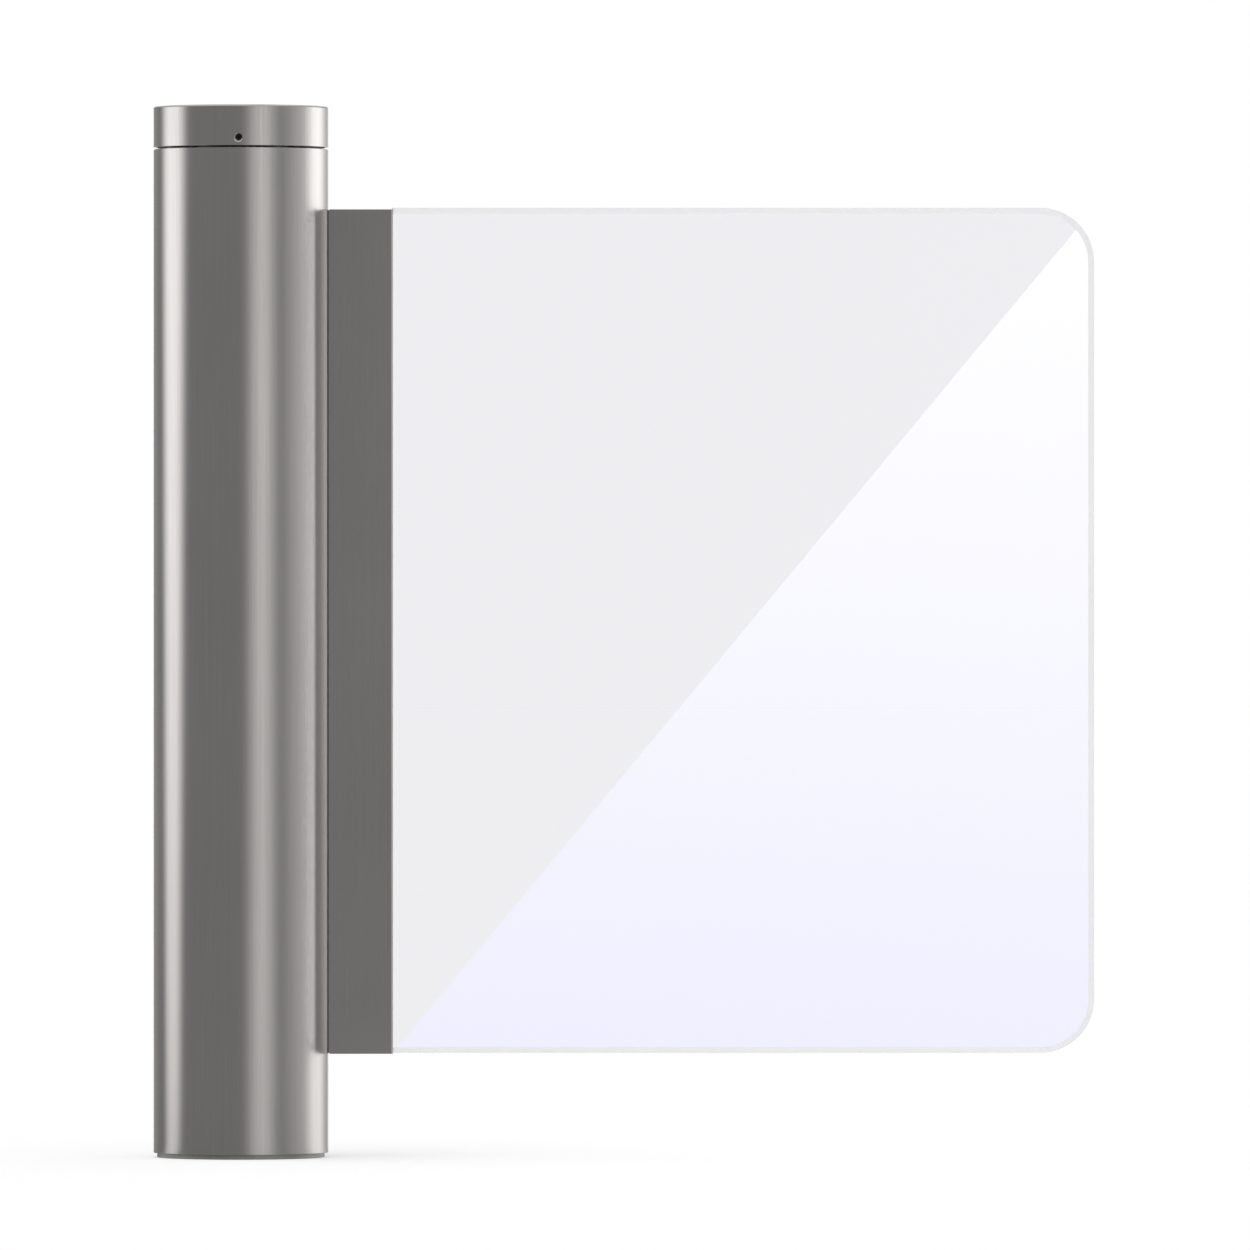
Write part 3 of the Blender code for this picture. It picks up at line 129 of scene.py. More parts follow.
# Panel; the ledge lets its top down between the leaves
PANEL_CORNER = 52.0 * MM
PANEL_CORNER_POINTS = 40
PANEL_BAND = 5.8 * MM
PANEL_BAND_DEPTH = 1.5 * MM
PANEL_ARRIS = 0.3 * MM
PANEL_LEDGE = 2.0 * MM
PANEL_LEDGE_BACK = 1.0 * MM
PANEL_SHARP_ANGLE = math.radians(12)
BOSS_HOLE_RADIUS = 6.3 * MM


# Meshes

def finished(name, work, smooth_angle=SMOOTH_ANGLE):
    """Turn a bmesh into an object with softly shaded curves and crisp edges."""
    bmesh.ops.remove_doubles(work, verts=work.verts, dist=WELD)
    bmesh.ops.recalc_face_normals(work, faces=work.faces)
    mesh = bpy.data.meshes.new(name)
    work.to_mesh(mesh)
    work.free()
    mesh.shade_smooth()
    mesh.set_sharp_from_angle(angle=smooth_angle)
    piece = bpy.data.objects.new(name, mesh)
    bpy.context.scene.collection.objects.link(piece)
    return piece


def even(piece):
    """Keep large faces flat in their shading, so that only the small edges turn the light."""
    normals = piece.modifiers.new("even_normals", "WEIGHTED_NORMAL")
    normals.weight = FACE_WEIGHT
    normals.keep_sharp = True


def revolved(name, profile, steps):
    """Turn (radius, height) points about Z; a run that starts or ends at the axis is capped flat."""
    work = bmesh.new()
    turns = [2 * math.pi * index / steps for index in range(steps)]
    rings = []
    for radius, height in profile:
        if radius > 0:
            rings.append([
                work.verts.new((radius * math.cos(turn), radius * math.sin(turn), height))
                for turn in turns
            ])
    closed = all(radius > 0 for radius, _ in profile)
    pairs = list(zip(rings, rings[1:]))
    if closed:
        pairs.append((rings[-1], rings[0]))
    for first, second in pairs:
        for index in range(steps):
            after = (index + 1) % steps
            work.faces.new((first[index], first[after], second[after], second[index]))
    if not closed:
        work.faces.new(rings[0])
        work.faces.new(reversed(rings[-1]))
    return finished(name, work)


def leaf(name, low, high, outer_y):
    """A steel leaf: fine edges all round, and a soft one where its outer face meets the panel.

    The edge beside the column stays sharp, a little off the tube, so that a dark gap shows there.
    """
    low = Vector((low.x + LEAF_SETBACK, low.y, low.z))
    work = bmesh.new()
    size = Matrix.Diagonal((*(high - low), 1))
    bmesh.ops.create_cube(work, size=1, matrix=Matrix.Translation((low + high) / 2) @ size)

    def along_face(x):
        return [
            edge for edge in work.edges
            if all(abs(v.co.x - x) < WELD and abs(v.co.y - outer_y) < WELD for v in edge.verts)
        ]

    bmesh.ops.bevel(
        work, geom=along_face(high.x), offset=LEAF_SOFT_EDGE, segments=LEAF_SOFT_SEGMENTS,
        profile=ROUND_BEVEL, affect="EDGES",
    )
    inner = along_face(low.x)
    crisp = [
        edge for edge in work.edges
        if edge.calc_face_angle() > SMOOTH_ANGLE and edge not in inner
    ]
    bmesh.ops.bevel(
        work, geom=crisp, offset=LEAF_BEVEL, segments=LEAF_SEGMENTS,
        profile=ROUND_BEVEL, affect="EDGES",
    )
    return finished(name, work)


def rod(radius, length, steps, matrix):
    """A cutting cylinder along the matrix's Z, from its origin."""
    profile = [(0, 0), (radius, 0), (radius, length), (0, length)]
    tool = revolved("tool", profile, steps)
    tool.data.transform(matrix)
    return tool


def apply_cuts(piece, tools):
    """Cut the tools from a piece and keep the result as its mesh."""
    for tool in tools:
        cutter = piece.modifiers.new("cut", "BOOLEAN")
        cutter.operation = "DIFFERENCE"
        cutter.object = tool
    graph = bpy.context.evaluated_depsgraph_get()
    mesh = bpy.data.meshes.new_from_object(piece.evaluated_get(graph))
    piece.modifiers.clear()
    old = piece.data
    piece.data = mesh
    mesh.name = piece.name
    bpy.data.meshes.remove(old)
    for tool in tools:
        bpy.data.objects.remove(tool)
    mesh.shade_smooth()
    mesh.set_sharp_from_angle(angle=SMOOTH_ANGLE)
    return piece


def radial(angle, radius, height):
    """Matrix that points Z outward from the column at an angle, starting at a radius."""
    outward = Matrix.Rotation(angle, 4, "Z") @ Matrix.Rotation(math.pi / 2, 4, "Y")
    place = Vector((radius * math.cos(angle), radius * math.sin(angle), height))
    return Matrix.Translation(place) @ outward


def arc(centre_x, centre_y, radius, start, end, points):
    turns = [start + (end - start) * index / (points - 1) for index in range(points)]
    return [(centre_x + radius * math.cos(t), centre_y + radius * math.sin(t)) for t in turns]


# Visible pieces

def stand_for(piece, body, slot, node):
    """Let a fine piece ride on a body and stand in for one of its nodes."""
    even(piece)
    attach(piece, body)
    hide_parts(node)
    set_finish(piece, slot)


def make_sleeve():
    low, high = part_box("sleeve_tube")
    outer = high.x
    inner = outer - SLEEVE_WALL
    c = TUBE_CHAMFER
    profile = [
        (outer - c, high.z), (outer, high.z - c), (outer, low.z + c), (outer - c, low.z),
        (inner + c, low.z), (inner, low.z + c), (inner, high.z - c), (inner + c, high.z),
    ]
    sleeve = revolved("fine_sleeve", profile, COLUMN_STEPS)
    stand_for(sleeve, "wing", "satin_steel", "sleeve_tube")


def cap_hole(place):
    """Cutting tools for one of the cap's holes, from a place just inside its wall.

    The deburred mouth is a little off the hole's centre, and widest below and to its left.
    """
    start = CAP_WALL + OVERRUN - CAP_FLARE * CAP_FLARE_SLOPE
    mouth = start + OVERRUN * CAP_FLARE_SLOPE
    cone = [(0, start), (CAP_HOLE_RADIUS, start), (CAP_HOLE_RADIUS + OVERRUN, mouth), (0, mouth)]
    bore = rod(CAP_HOLE_RADIUS, CAP_WALL + 2 * OVERRUN, SCREW_STEPS, place)
    flare = revolved("tool", cone, SCREW_STEPS)
    flare.data.transform(place @ Matrix.Translation(CAP_FLARE_SHIFT))
    return [bore, flare]


def make_cap():
    low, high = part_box("cap")
    outer = high.x
    inner = outer - CAP_WALL
    ceiling = high.z - CAP_WALL
    c = TUBE_CHAMFER
    profile = [(0, high.z)]
    profile += arc(
        outer - CAP_ROUND, high.z - CAP_ROUND, CAP_ROUND, math.pi / 2, 0, CAP_ROUND_POINTS
    )
    profile += [
        (outer, low.z + c), (outer - c, low.z), (inner + c, low.z), (inner, low.z + c),
        (inner, ceiling), (0, ceiling),
    ]
    cap = revolved("fine_cap", profile, COLUMN_STEPS)
    tools = []
    for angle in CAP_SCREW_ANGLES:
        tools += cap_hole(radial(angle, inner - OVERRUN, low.z + CAP_SCREW_RISE))
    stand_for(apply_cuts(cap, tools), "column", "satin_steel", "cap")


def make_cap_screws():
    low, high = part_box("cap")
    height = low.z + CAP_SCREW_RISE
    start = high.x - CAP_SCREW_RECESS - CAP_SCREW_LENGTH
    c = TUBE_CHAMFER
    profile = [
        (0, 0), (CAP_SCREW_RADIUS - c, 0), (CAP_SCREW_RADIUS, c),
        (CAP_SCREW_RADIUS, CAP_SCREW_LENGTH - c), (CAP_SCREW_RADIUS - c, CAP_SCREW_LENGTH),
        (0, CAP_SCREW_LENGTH),
    ]
    floor = Matrix.Translation((0, 0, CAP_SCREW_LENGTH - SOCKET_DEPTH))
    for number, angle in enumerate(CAP_SCREW_ANGLES, 1):
        screw = revolved(f"fine_cap_screw_{number}", profile, SCREW_STEPS)
        apply_cuts(screw, [rod(SOCKET_RADIUS, SOCKET_DEPTH + OVERRUN, HEX_SIDES, floor)])
        screw.data.transform(radial(angle, start, height))
        stand_for(screw, "column", "black_steel", f"cap_screw_{number}")


def make_base():
    low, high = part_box("base_flange")
    c = BASE_CHAMFER
    profile = [
        (0, high.z), (high.x - c, high.z), (high.x, high.z - c), (high.x, low.z + c),
        (high.x - c, low.z), (0, low.z),
    ]
    base = revolved("fine_base", profile, COLUMN_STEPS)
    depth = high.z - low.z + 2 * OVERRUN
    tools = []
    for hole in frame["record"]["physics"]["openings"]:
        corner, other = hole["box_m"]
        x, y = (corner[0] + other[0]) / 2, (corner[1] + other[1]) / 2
        start = Matrix.Translation((x, y, low.z - OVERRUN))
        radius = CABLE_HOLE_RADIUS if hole["name"] == "cable_entry" else ANCHOR_HOLE_RADIUS
        tools.append(rod(radius, depth, SCREW_STEPS, start))
    stand_for(apply_cuts(base, tools), "column", "base_steel", "base_flange")


def clamp_places():
    """Centres of the clamp screws' tips, from their nodes."""
    places = []
    for number in range(1, CLAMP_SCREW_COUNT + 1):
        low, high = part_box(f"clamp_screw_{number}")
        places.append(Vector(((low.x + high.x) / 2, low.y, (low.z + high.z) / 2)))
    return places


def clamp_holes(radius, front, back):
    """Cutting tools for a hole round each clamp screw, through all between two depths."""
    tools = []
    for place in clamp_places():
        start = Matrix.Translation((place.x, front - OVERRUN, place.z)) @ ALONG_Y
        tools.append(rod(radius, back - front + 2 * OVERRUN, SCREW_STEPS, start))
    return tools


def make_leaves():
    low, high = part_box("bracket_front_plate")
    front = leaf("fine_front_leaf", low, high, low.y)
    stand_for(front, "wing", "satin_steel", "bracket_front_plate")
    low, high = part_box("bracket_rear_plate")
    rear = leaf("fine_rear_leaf", low, high, high.y)
    apply_cuts(rear, clamp_holes(CLAMP_SHANK_RADIUS + CLAMP_HOLE_GAP, low.y, high.y))
    stand_for(rear, "wing", "satin_steel", "bracket_rear_plate")


def make_spine():
    """The bar between the leaves, hollowed to the tube so that no light passes beside it."""
    low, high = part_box("bracket_spine")
    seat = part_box("sleeve_tube")[1].x + SPINE_SEAT_GAP
    flat = high.y - SPINE_ROUND
    start = math.sqrt(seat ** 2 - flat ** 2)
    centre = start + SPINE_ROUND
    outline = [(high.x, high.y)]
    outline += arc(centre, flat, SPINE_ROUND, math.pi / 2, math.pi, SPINE_POINTS)
    for index in range(1, SPINE_POINTS):
        y = flat * (1 - 2 * index / SPINE_POINTS)
        outline.append((math.sqrt(seat ** 2 - y ** 2), y))
    outline += arc(centre, -flat, SPINE_ROUND, math.pi, 1.5 * math.pi, SPINE_POINTS)
    outline.append((high.x, low.y))
    work = bmesh.new()
    ends = [[work.verts.new((x, y, z)) for x, y in outline] for z in (low.z, high.z)]
    work.faces.new(ends[0])
    work.faces.new(reversed(ends[1]))
    for index in range(len(outline)):
        after = (index + 1) % len(outline)
        work.faces.new((ends[0][index], ends[1][index], ends[1][after], ends[0][after]))
    stand_for(finished("fine_spine", work), "wing", "satin_steel", "bracket_spine")


def button_dome(base):
    """The (radius, height) points of a button head's dome, from its crown down to its rim."""
    crown = math.cos(BUTTON_DOME_ANGLE)
    points = []
    for index in range(BUTTON_POINTS):
        turn = BUTTON_DOME_ANGLE * (1 - index / (BUTTON_POINTS - 1))
        spread = (math.cos(turn) - crown) / (1 - crown)
        rise = math.sin(turn) / math.sin(BUTTON_DOME_ANGLE)
        radius = BUTTON_RADIUS * (BUTTON_CROWN + (1 - BUTTON_CROWN) * spread)
        points.append((radius, base + BUTTON_RIM + rise * (BUTTON_HEIGHT - BUTTON_RIM)))
    return points


def make_clamp_screws():
    for number, place in enumerate(clamp_places(), 1):
        low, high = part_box(f"clamp_screw_{number}")
        shank = high.y - low.y - BUTTON_HEIGHT
        profile = [(0, shank + BUTTON_HEIGHT)]
        profile += button_dome(shank)
        profile += [
            (BUTTON_RADIUS, shank), (CLAMP_SHANK_RADIUS, shank), (CLAMP_SHANK_RADIUS, CLAMP_TIP),
            (CLAMP_SHANK_RADIUS - CLAMP_TIP, 0), (0, 0),
        ]
        screw = revolved(f"fine_clamp_screw_{number}", profile, SCREW_STEPS)
        floor = Matrix.Translation((0, 0, shank + BUTTON_HEIGHT - BUTTON_SOCKET_DEPTH))
        depth = BUTTON_SOCKET_DEPTH + OVERRUN
        apply_cuts(screw, [rod(BUTTON_SOCKET_RADIUS, depth, HEX_SIDES, floor)])
        screw.data.transform(Matrix.Translation(place) @ ALONG_Y)
        stand_for(screw, "wing", "satin_steel", f"clamp_screw_{number}")


def panel_outline(low, high, inset, leaf_edge):
    """The sheet's outline, with its top let down a little between the leaves."""
    radius = PANEL_CORNER - inset
    right, bottom, top = high.x - inset, low.z + inset, high.z - inset
    ledge = leaf_edge - PANEL_LEDGE_BACK
    points = [(ledge, top), (ledge, top - PANEL_LEDGE), (low.x, top - PANEL_LEDGE), (low.x, bottom)]
    points += arc(right - radius, bottom + radius, radius, -math.pi / 2, 0, PANEL_CORNER_POINTS)
    points += arc(right - radius, top - radius, radius, 0, math.pi / 2, PANEL_CORNER_POINTS)
    return points


def make_panel():
    """The clear sheet: flat faces, a ground band along its free edges, and a soft arris."""
    low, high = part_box("panel")
    front, back = low.y, high.y
    leaf_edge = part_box("bracket_front_plate")[1].x
    slope = PANEL_BAND_DEPTH * (1 - PANEL_ARRIS / PANEL_BAND)
    sections = [
        (PANEL_BAND, front),
        (PANEL_ARRIS, front + slope),
        (0, front + PANEL_BAND_DEPTH + PANEL_ARRIS),
        (0, back - PANEL_BAND_DEPTH - PANEL_ARRIS),
        (PANEL_ARRIS, back - slope),
        (PANEL_BAND, back),
    ]
    work = bmesh.new()
    rings = []
    for inset, y in sections:
        outline = panel_outline(low, high, inset, leaf_edge)
        rings.append([work.verts.new((x, y, z)) for x, z in outline])
    work.faces.new(rings[0])
    for first, second in zip(rings, rings[1:]):
        count = len(first)
        for index in range(count):
            after = (index + 1) % count
            face = work.faces.new((first[index], second[index], second[after], first[after]))
            face.material_index = 1
    work.faces.new(reversed(rings[-1]))
    sheet = finished("fine_panel", work, PANEL_SHARP_ANGLE)
    sheet.data.materials.append(MATERIALS["clear_acrylic"])
    sheet.data.materials.append(MATERIALS["ground_edge"])
    apply_cuts(sheet, clamp_holes(BOSS_HOLE_RADIUS, front, back))
    sheet.data.set_sharp_from_angle(angle=PANEL_SHARP_ANGLE)
    sheet.visible_shadow = False
    stand_for(sheet, "wing", "clear_acrylic", "panel")


# Materials: scales are in cycles per metre, shades are factors of the base colour

HAIRLINE = (2600.0, 2600.0, 24.0)
FINE_PEBBLE = (700.0, 700.0, 700.0)
TOOL_MARKS = (1200.0, 1200.0, 90.0)
GROUND_RACE = (60.0, 60.0, 2400.0)
TURNED_BRONZE = (90.0, 90.0, 1800.0)
BROAD_GRAIN = 0.22
STEEL_CLOUDS = (9.0, 9.0, 5.0)
STEEL_SHADES = (0.97, 1.02)
BAND_DARKNESS = 0.05
LINE_SHADE = 0.80
LINE_SHARE = 0.3

COATED_CLOUDS = (14.0, 14.0, 14.0)
COATED_SHADES = (0.88, 1.10)
COATED_GLOSS = 0.05
COATED_DULLNESS = 0.06

SPANGLE_SCALE = (160.0, 160.0, 160.0)
SPANGLE_SHADES = (0.86, 1.10)
SPANGLE_SHEEN = 0.06
ZINC_GRAIN = (900.0, 900.0, 900.0)
ZINC_DEPTH = 0.02 * MM

RUN_SCALE = (220.0, 220.0, 220.0)
RUN_COLOURS = {
    "Color1": (0.02, 0.15, 0.06, 1.0),
    "Color2": (0.03, 0.22, 0.09, 1.0),
    "Mortar": (0.06, 0.36, 0.16, 1.0),
}
RUN_OFFSET = 0.37
RUN_SQUASH = 0.8
RUN_WIDTH = 0.03
RUN_SHEEN = (0.42, 0.30)
RUN_DEPTH = 0.04 * MM
BOARD_COAT = 0.3

SHEET_CLOUDS = (7.0, 7.0, 7.0)
ACRYLIC_IOR = 1.49


class Tree:
    """A small helper that adds and links shader nodes."""

    def __init__(self, owner):
        owner.use_nodes = True
        self.nodes = owner.node_tree.nodes
        self.links = owner.node_tree.links

    def add(self, kind, **settings):
        node = self.nodes.new(kind)
        for name, value in settings.items():
            setattr(node, name, value)
        return node

    def link(self, source, target):
        self.links.new(source, target)

    def coordinates(self, scale):
        """Object coordinates, in metres, stretched by a scale."""
        coords = self.add("ShaderNodeTexCoord")
        mapping = self.add("ShaderNodeMapping")
        mapping.inputs["Scale"].default_value = scale
        self.link(coords.outputs["Object"], mapping.inputs["Vector"])
        return mapping.outputs["Vector"]

    def noise(self, scale, detail=3.0, roughness=0.5):
        node = self.add("ShaderNodeTexNoise")
        node.inputs["Scale"].default_value = 1.0
        node.inputs["Detail"].default_value = detail
        node.inputs["Roughness"].default_value = roughness
        self.link(self.coordinates(scale), node.inputs["Vector"])
        return node.outputs["Fac"]

    def ranged(self, value, low, high, start=0.3, end=0.7):
        """Map start..end to low..high; by default that is the part where a noise mostly lies."""
        node = self.add("ShaderNodeMapRange")
        node.inputs["From Min"].default_value = start
        node.inputs["From Max"].default_value = end
        node.inputs["To Min"].default_value = low
        node.inputs["To Max"].default_value = high
        self.link(value, node.inputs["Value"])
        return node.outputs["Result"]

    def math(self, operation, first, second=0.0):
        node = self.add("ShaderNodeMath", operation=operation)
        for socket, value in zip(node.inputs, (first, second)):
            if isinstance(value, (int, float)):
                socket.default_value = value
            else:
                self.link(value, socket)
        return node.outputs["Value"]

    def blend(self, factor, first, second):
        """Mix two colours by a factor."""
        node = self.add("ShaderNodeMix", data_type="RGBA")
        if isinstance(factor, float):
            node.inputs["Factor"].default_value = factor
        else:
            self.link(factor, node.inputs["Factor"])
        for socket, value in ((node.inputs[6], first), (node.inputs[7], second)):
            if isinstance(value, tuple):
                socket.default_value = (*value, 1.0)
            else:
                self.link(value, socket)
        return node.outputs[2]

    def bump(self, height, distance):
        node = self.add("ShaderNodeBump")
        node.inputs["Distance"].default_value = distance
        node.inputs["Strength"].default_value = 1.0
        self.link(height, node.inputs["Height"])
        return node.outputs["Normal"]


def surface(name, metallic=0.0, **constants):
    """A new material, its tree and its Principled shader, with constants set on the sockets."""
    made = bpy.data.materials.new(name)
    tree = Tree(made)
    shader = tree.nodes["Principled BSDF"]
    shader.inputs["Metallic"].default_value = metallic
    for socket, value in constants.items():
        shader.inputs[socket.replace("_", " ")].default_value = value
    return made, tree, shader


def shade_of(colour, factor):
    return tuple(min(1.0, channel * factor) for channel in colour)


def steel(name, colour, roughness, spread, grain, depth):
    """Bare metal: fine and broad brushed lines, faint cloudy patches and slow changes of sheen."""
    made, tree, shader = surface(name, metallic=1.0)
    lines = tree.noise(grain, detail=4.0, roughness=0.6)
    bands = tree.noise(tuple(scale * BROAD_GRAIN for scale in grain), detail=2.0)
    clouds = tree.noise(STEEL_CLOUDS, detail=3.0)
    dark, light = (shade_of(colour, shade) for shade in STEEL_SHADES)
    tone = tree.blend(tree.ranged(clouds, 0.0, 1.0), dark, light)
    darker = tree.blend(BAND_DARKNESS, tone, (0.0, 0.0, 0.0))
    tone = tree.blend(tree.ranged(bands, 0.0, 1.0), tone, darker)
    tone = tree.blend(tree.ranged(lines, 0.0, LINE_SHARE), tone, shade_of(colour, LINE_SHADE))
    tree.link(tone, shader.inputs["Base Color"])
    sheen = roughness
    for pattern in (lines, clouds, bands):
        sheen = tree.math("ADD", tree.ranged(pattern, -spread, spread), sheen)
    tree.link(sheen, shader.inputs["Roughness"])
    tree.link(tree.bump(lines, depth), shader.inputs["Normal"])
    return made


def coated(name, colour, roughness, scale, depth, metallic=0.0):
    """Paint, plastic or rubber: a pebbled skin with slight changes of tone."""
    made, tree, shader = surface(name, metallic=metallic)
    grain = tree.noise((scale, scale, scale), detail=2.0)
    clouds = tree.noise(COATED_CLOUDS, detail=3.0)
    dark, light = (shade_of(colour, shade) for shade in COATED_SHADES)
    tree.link(tree.blend(tree.ranged(clouds, 0.0, 1.0), dark, light), shader.inputs["Base Color"])
    sheen = tree.ranged(clouds, roughness - COATED_GLOSS, roughness + COATED_DULLNESS)
    tree.link(sheen, shader.inputs["Roughness"])
    tree.link(tree.bump(grain, depth), shader.inputs["Normal"])
    return made


def galvanised(name, colour, roughness):
    """Zinc plating: a faint spangle of crystal patches over a fine grain."""
    made, tree, shader = surface(name, metallic=1.0)
    cells = tree.add("ShaderNodeTexVoronoi", feature="F1")
    cells.inputs["Scale"].default_value = 1.0
    tree.link(tree.coordinates(SPANGLE_SCALE), cells.inputs["Vector"])
    split = tree.add("ShaderNodeSeparateColor")
    tree.link(cells.outputs["Color"], split.inputs["Color"])
    spangle = split.outputs["Red"]
    dark, light = (shade_of(colour, shade) for shade in SPANGLE_SHADES)
    tree.link(tree.blend(spangle, dark, light), shader.inputs["Base Color"])
    sheen = tree.ranged(spangle, roughness - SPANGLE_SHEEN, roughness + SPANGLE_SHEEN, 0.0, 1.0)
    tree.link(sheen, shader.inputs["Roughness"])
    tree.link(tree.bump(tree.noise(ZINC_GRAIN), ZINC_DEPTH), shader.inputs["Normal"])
    return made


def circuit_board(name):
    """Green solder mask with a fine pattern of conductor runs under it."""
    made, tree, shader = surface(name, Coat_Weight=BOARD_COAT)
    runs = tree.add("ShaderNodeTexBrick", offset=RUN_OFFSET, squash=RUN_SQUASH)
    runs.inputs["Scale"].default_value = 1.0
    for socket, colour in RUN_COLOURS.items():
        runs.inputs[socket].default_value = colour
    runs.inputs["Mortar Size"].default_value = RUN_WIDTH
    upright = tree.add("ShaderNodeMapping")
    upright.inputs["Rotation"].default_value = (math.pi / 2, 0, 0)
    tree.link(tree.coordinates(RUN_SCALE), upright.inputs["Vector"])
    tree.link(upright.outputs["Vector"], runs.inputs["Vector"])
    tree.link(runs.outputs["Color"], shader.inputs["Base Color"])
    tree.link(tree.ranged(runs.outputs["Fac"], *RUN_SHEEN, 0.0, 1.0), shader.inputs["Roughness"])
    tree.link(tree.bump(runs.outputs["Fac"], RUN_DEPTH), shader.inputs["Normal"])
    return made


def clear_sheet(name, colour, low, high, dust, clarity=1.0):
    """Clear acrylic with faint cloudy changes of polish, or its ground edge."""
    made, tree, shader = surface(name, IOR=ACRYLIC_IOR, Transmission_Weight=clarity)
    clouds = tree.noise(SHEET_CLOUDS, detail=4.0)
    tone = tree.blend(tree.ranged(clouds, 0.0, 1.0), colour, shade_of(colour, dust))
    tree.link(tone, shader.inputs["Base Color"])
    tree.link(tree.ranged(clouds, low, high), shader.inputs["Roughness"])
    return made


MATERIALS = {
    "satin_steel": steel(
        "satin_steel", (0.635, 0.614, 0.600), roughness=0.17, spread=0.014,
        grain=HAIRLINE, depth=0.015 * MM,
    ),
    "base_steel": steel(
        "base_steel", (0.58, 0.58, 0.57), roughness=0.6, spread=0.03,
        grain=FINE_PEBBLE, depth=0.03 * MM,
    ),
    "inner_steel": galvanised("inner_steel", (0.45, 0.45, 0.46), roughness=0.42),
    "bearing_steel": steel(
        "bearing_steel", (0.58, 0.58, 0.60), roughness=0.18, spread=0.02,
        grain=GROUND_RACE, depth=0.01 * MM,
    ),
    "gear_steel": steel(
        "gear_steel", (0.38, 0.38, 0.39), roughness=0.33, spread=0.04,
        grain=TOOL_MARKS, depth=0.03 * MM,
    ),
    "black_steel": coated(
        "black_steel", (0.022, 0.022, 0.024), roughness=0.45, scale=1500.0,
        depth=0.02 * MM, metallic=0.6,
    ),
    "motor_housing": coated(
        "motor_housing", (0.06, 0.06, 0.065), roughness=0.5, scale=1300.0, depth=0.08 * MM
    ),
    "bronze": steel(
        "bronze", (0.72, 0.48, 0.22), roughness=0.33, spread=0.04,
        grain=TURNED_BRONZE, depth=0.03 * MM,
    ),
    "polymer": coated(
        "polymer", (0.75, 0.74, 0.70), roughness=0.45, scale=1100.0, depth=0.03 * MM
    ),
    "rubber": coated("rubber", (0.03, 0.03, 0.03), roughness=0.78, scale=1600.0, depth=0.06 * MM),
    "board": circuit_board("board"),
    "clear_acrylic": clear_sheet(
        "clear_acrylic", (0.880, 0.880, 0.907), low=0.0, high=0.004, dust=0.998
    ),
    "ground_edge": clear_sheet(
        "ground_edge", (0.94, 0.94, 0.94), low=0.24, high=0.34, dust=0.98, clarity=0.85
    ),
}


def dress():
    """Give each piece the material of its slot."""
    slots = {part["node"]: part["material_slot"] for part in frame["record"]["subparts"]}
    for node, piece in frame["nodes"].items():
        for holder in piece.material_slots:
            holder.material = MATERIALS[slots[node]]
    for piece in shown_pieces():
        if not piece.data.materials:
            piece.data.materials.append(MATERIALS[piece["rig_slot"]])


# Stage, lights and camera

# The camera is level and far away, because the photograph's uprights are parallel
CAMERA_DISTANCE = 15.0
CAMERA_X = 0.3687
CAMERA_Z = 0.5107
FRAME_WIDTH = 1.2
SENSOR = 36.0
CLIP_START = 0.1
CLIP_END = 400.0

# Floor, world and lamp; the lift brings the lit floor up to the white of the background
FLOOR_SIZE = 160.0
FLOOR_COLOUR = (0.88, 0.88, 0.88, 1.0)
FLOOR_LIFT = 0.402
WHITE = (1.0, 1.0, 1.0, 1.0)
AMBIENT = 0.50
LAMP_STRENGTH = 0.6
LAMP_ANGLE = math.radians(50)
LAMP_TILT = (math.radians(12), math.radians(-14), 0)

# The tent: reaches are distances from the column's axis, heights are above the floor, and the
# gap behind starts at an azimuth in degrees
TENT_RADIUS = 5.0
TENT_HEIGHT = 6.0
TENT_LIFT = 0.3 * MM
TENT_STEPS = 128
TENT_FLAG = (0.234, 0.233, 0.228)
# Painted shadow in the tent's floor, in place of the column's own: the flags darken towards the column
# by the shade over its reach, and the lights fade out close round the column's foot
TENT_SHADE = 0.95
TENT_SHADE_REACH = (0.2, 1.6)
TENT_FOOT_SHADOW_REACH = (0.06, 0.16)
TENT_ROOF = (0.72, 0.71, 0.70)
TENT_ROOF_HEIGHTS = (1.8, 3.2)
TENT_LIGHT_TOPS = (1.38, 1.52)
TENT_RISE_PER_METRE = 0.62
TENT_RUN_PER_METRE = 0.05
TENT_GAP = 168.0
TENT_GAP_EDGE = 4.0

# The tent's lights: azimuth and half-widths in degrees, radiance, the shares of radiance and
# width that are left at the foot, and how soon the foot's level gives way to the wall's
TENT_LIGHTS = [
    dict(centre=-160.0, inner=5.0, outer=33.0, radiance=0.09, foot=1.0, foot_width=1.0, haste=1.0),
    dict(centre=-101.0, inner=7.0, outer=32.5, radiance=1.27, foot=0.43, foot_width=0.63, haste=1.3),
    dict(centre=29.4, inner=0.0, outer=29.0, radiance=0.59, foot=0.71, foot_width=1.0, haste=1.4),
    dict(centre=120.0, inner=8.0, outer=82.0, radiance=0.56, foot=0.60, foot_width=1.0, haste=1.0),
    dict(centre=121.5, inner=3.0, outer=32.5, radiance=0.91, foot=0.64, foot_width=1.0, haste=1.0),
]

# Cards; the panel card's width and margin are shares of the length that mirrors the panel's
# diagonal, and the leaf card's fade is a share of its own width
PANEL_CARD_Y = -2.0
PANEL_CARD_WIDTH = 0.62
PANEL_CARD_MARGIN = 0.15
PANEL_CARD_RADIANCE = 4.0
PANEL_CARD_HEAD = (1.0, 1.0, 1.0)
PANEL_CARD_FOOT = (0.05, 0.05, 0.9)
LEAF_CARD_AZIMUTH = math.radians(42)
LEAF_CARD_DISTANCE = 2.0
LEAF_CARD_WIDTH = 1.8
LEAF_CARD_HEIGHT = 1.4
LEAF_CARD_FADE = 0.2
LEAF_CARD_RADIANCE = 0.115


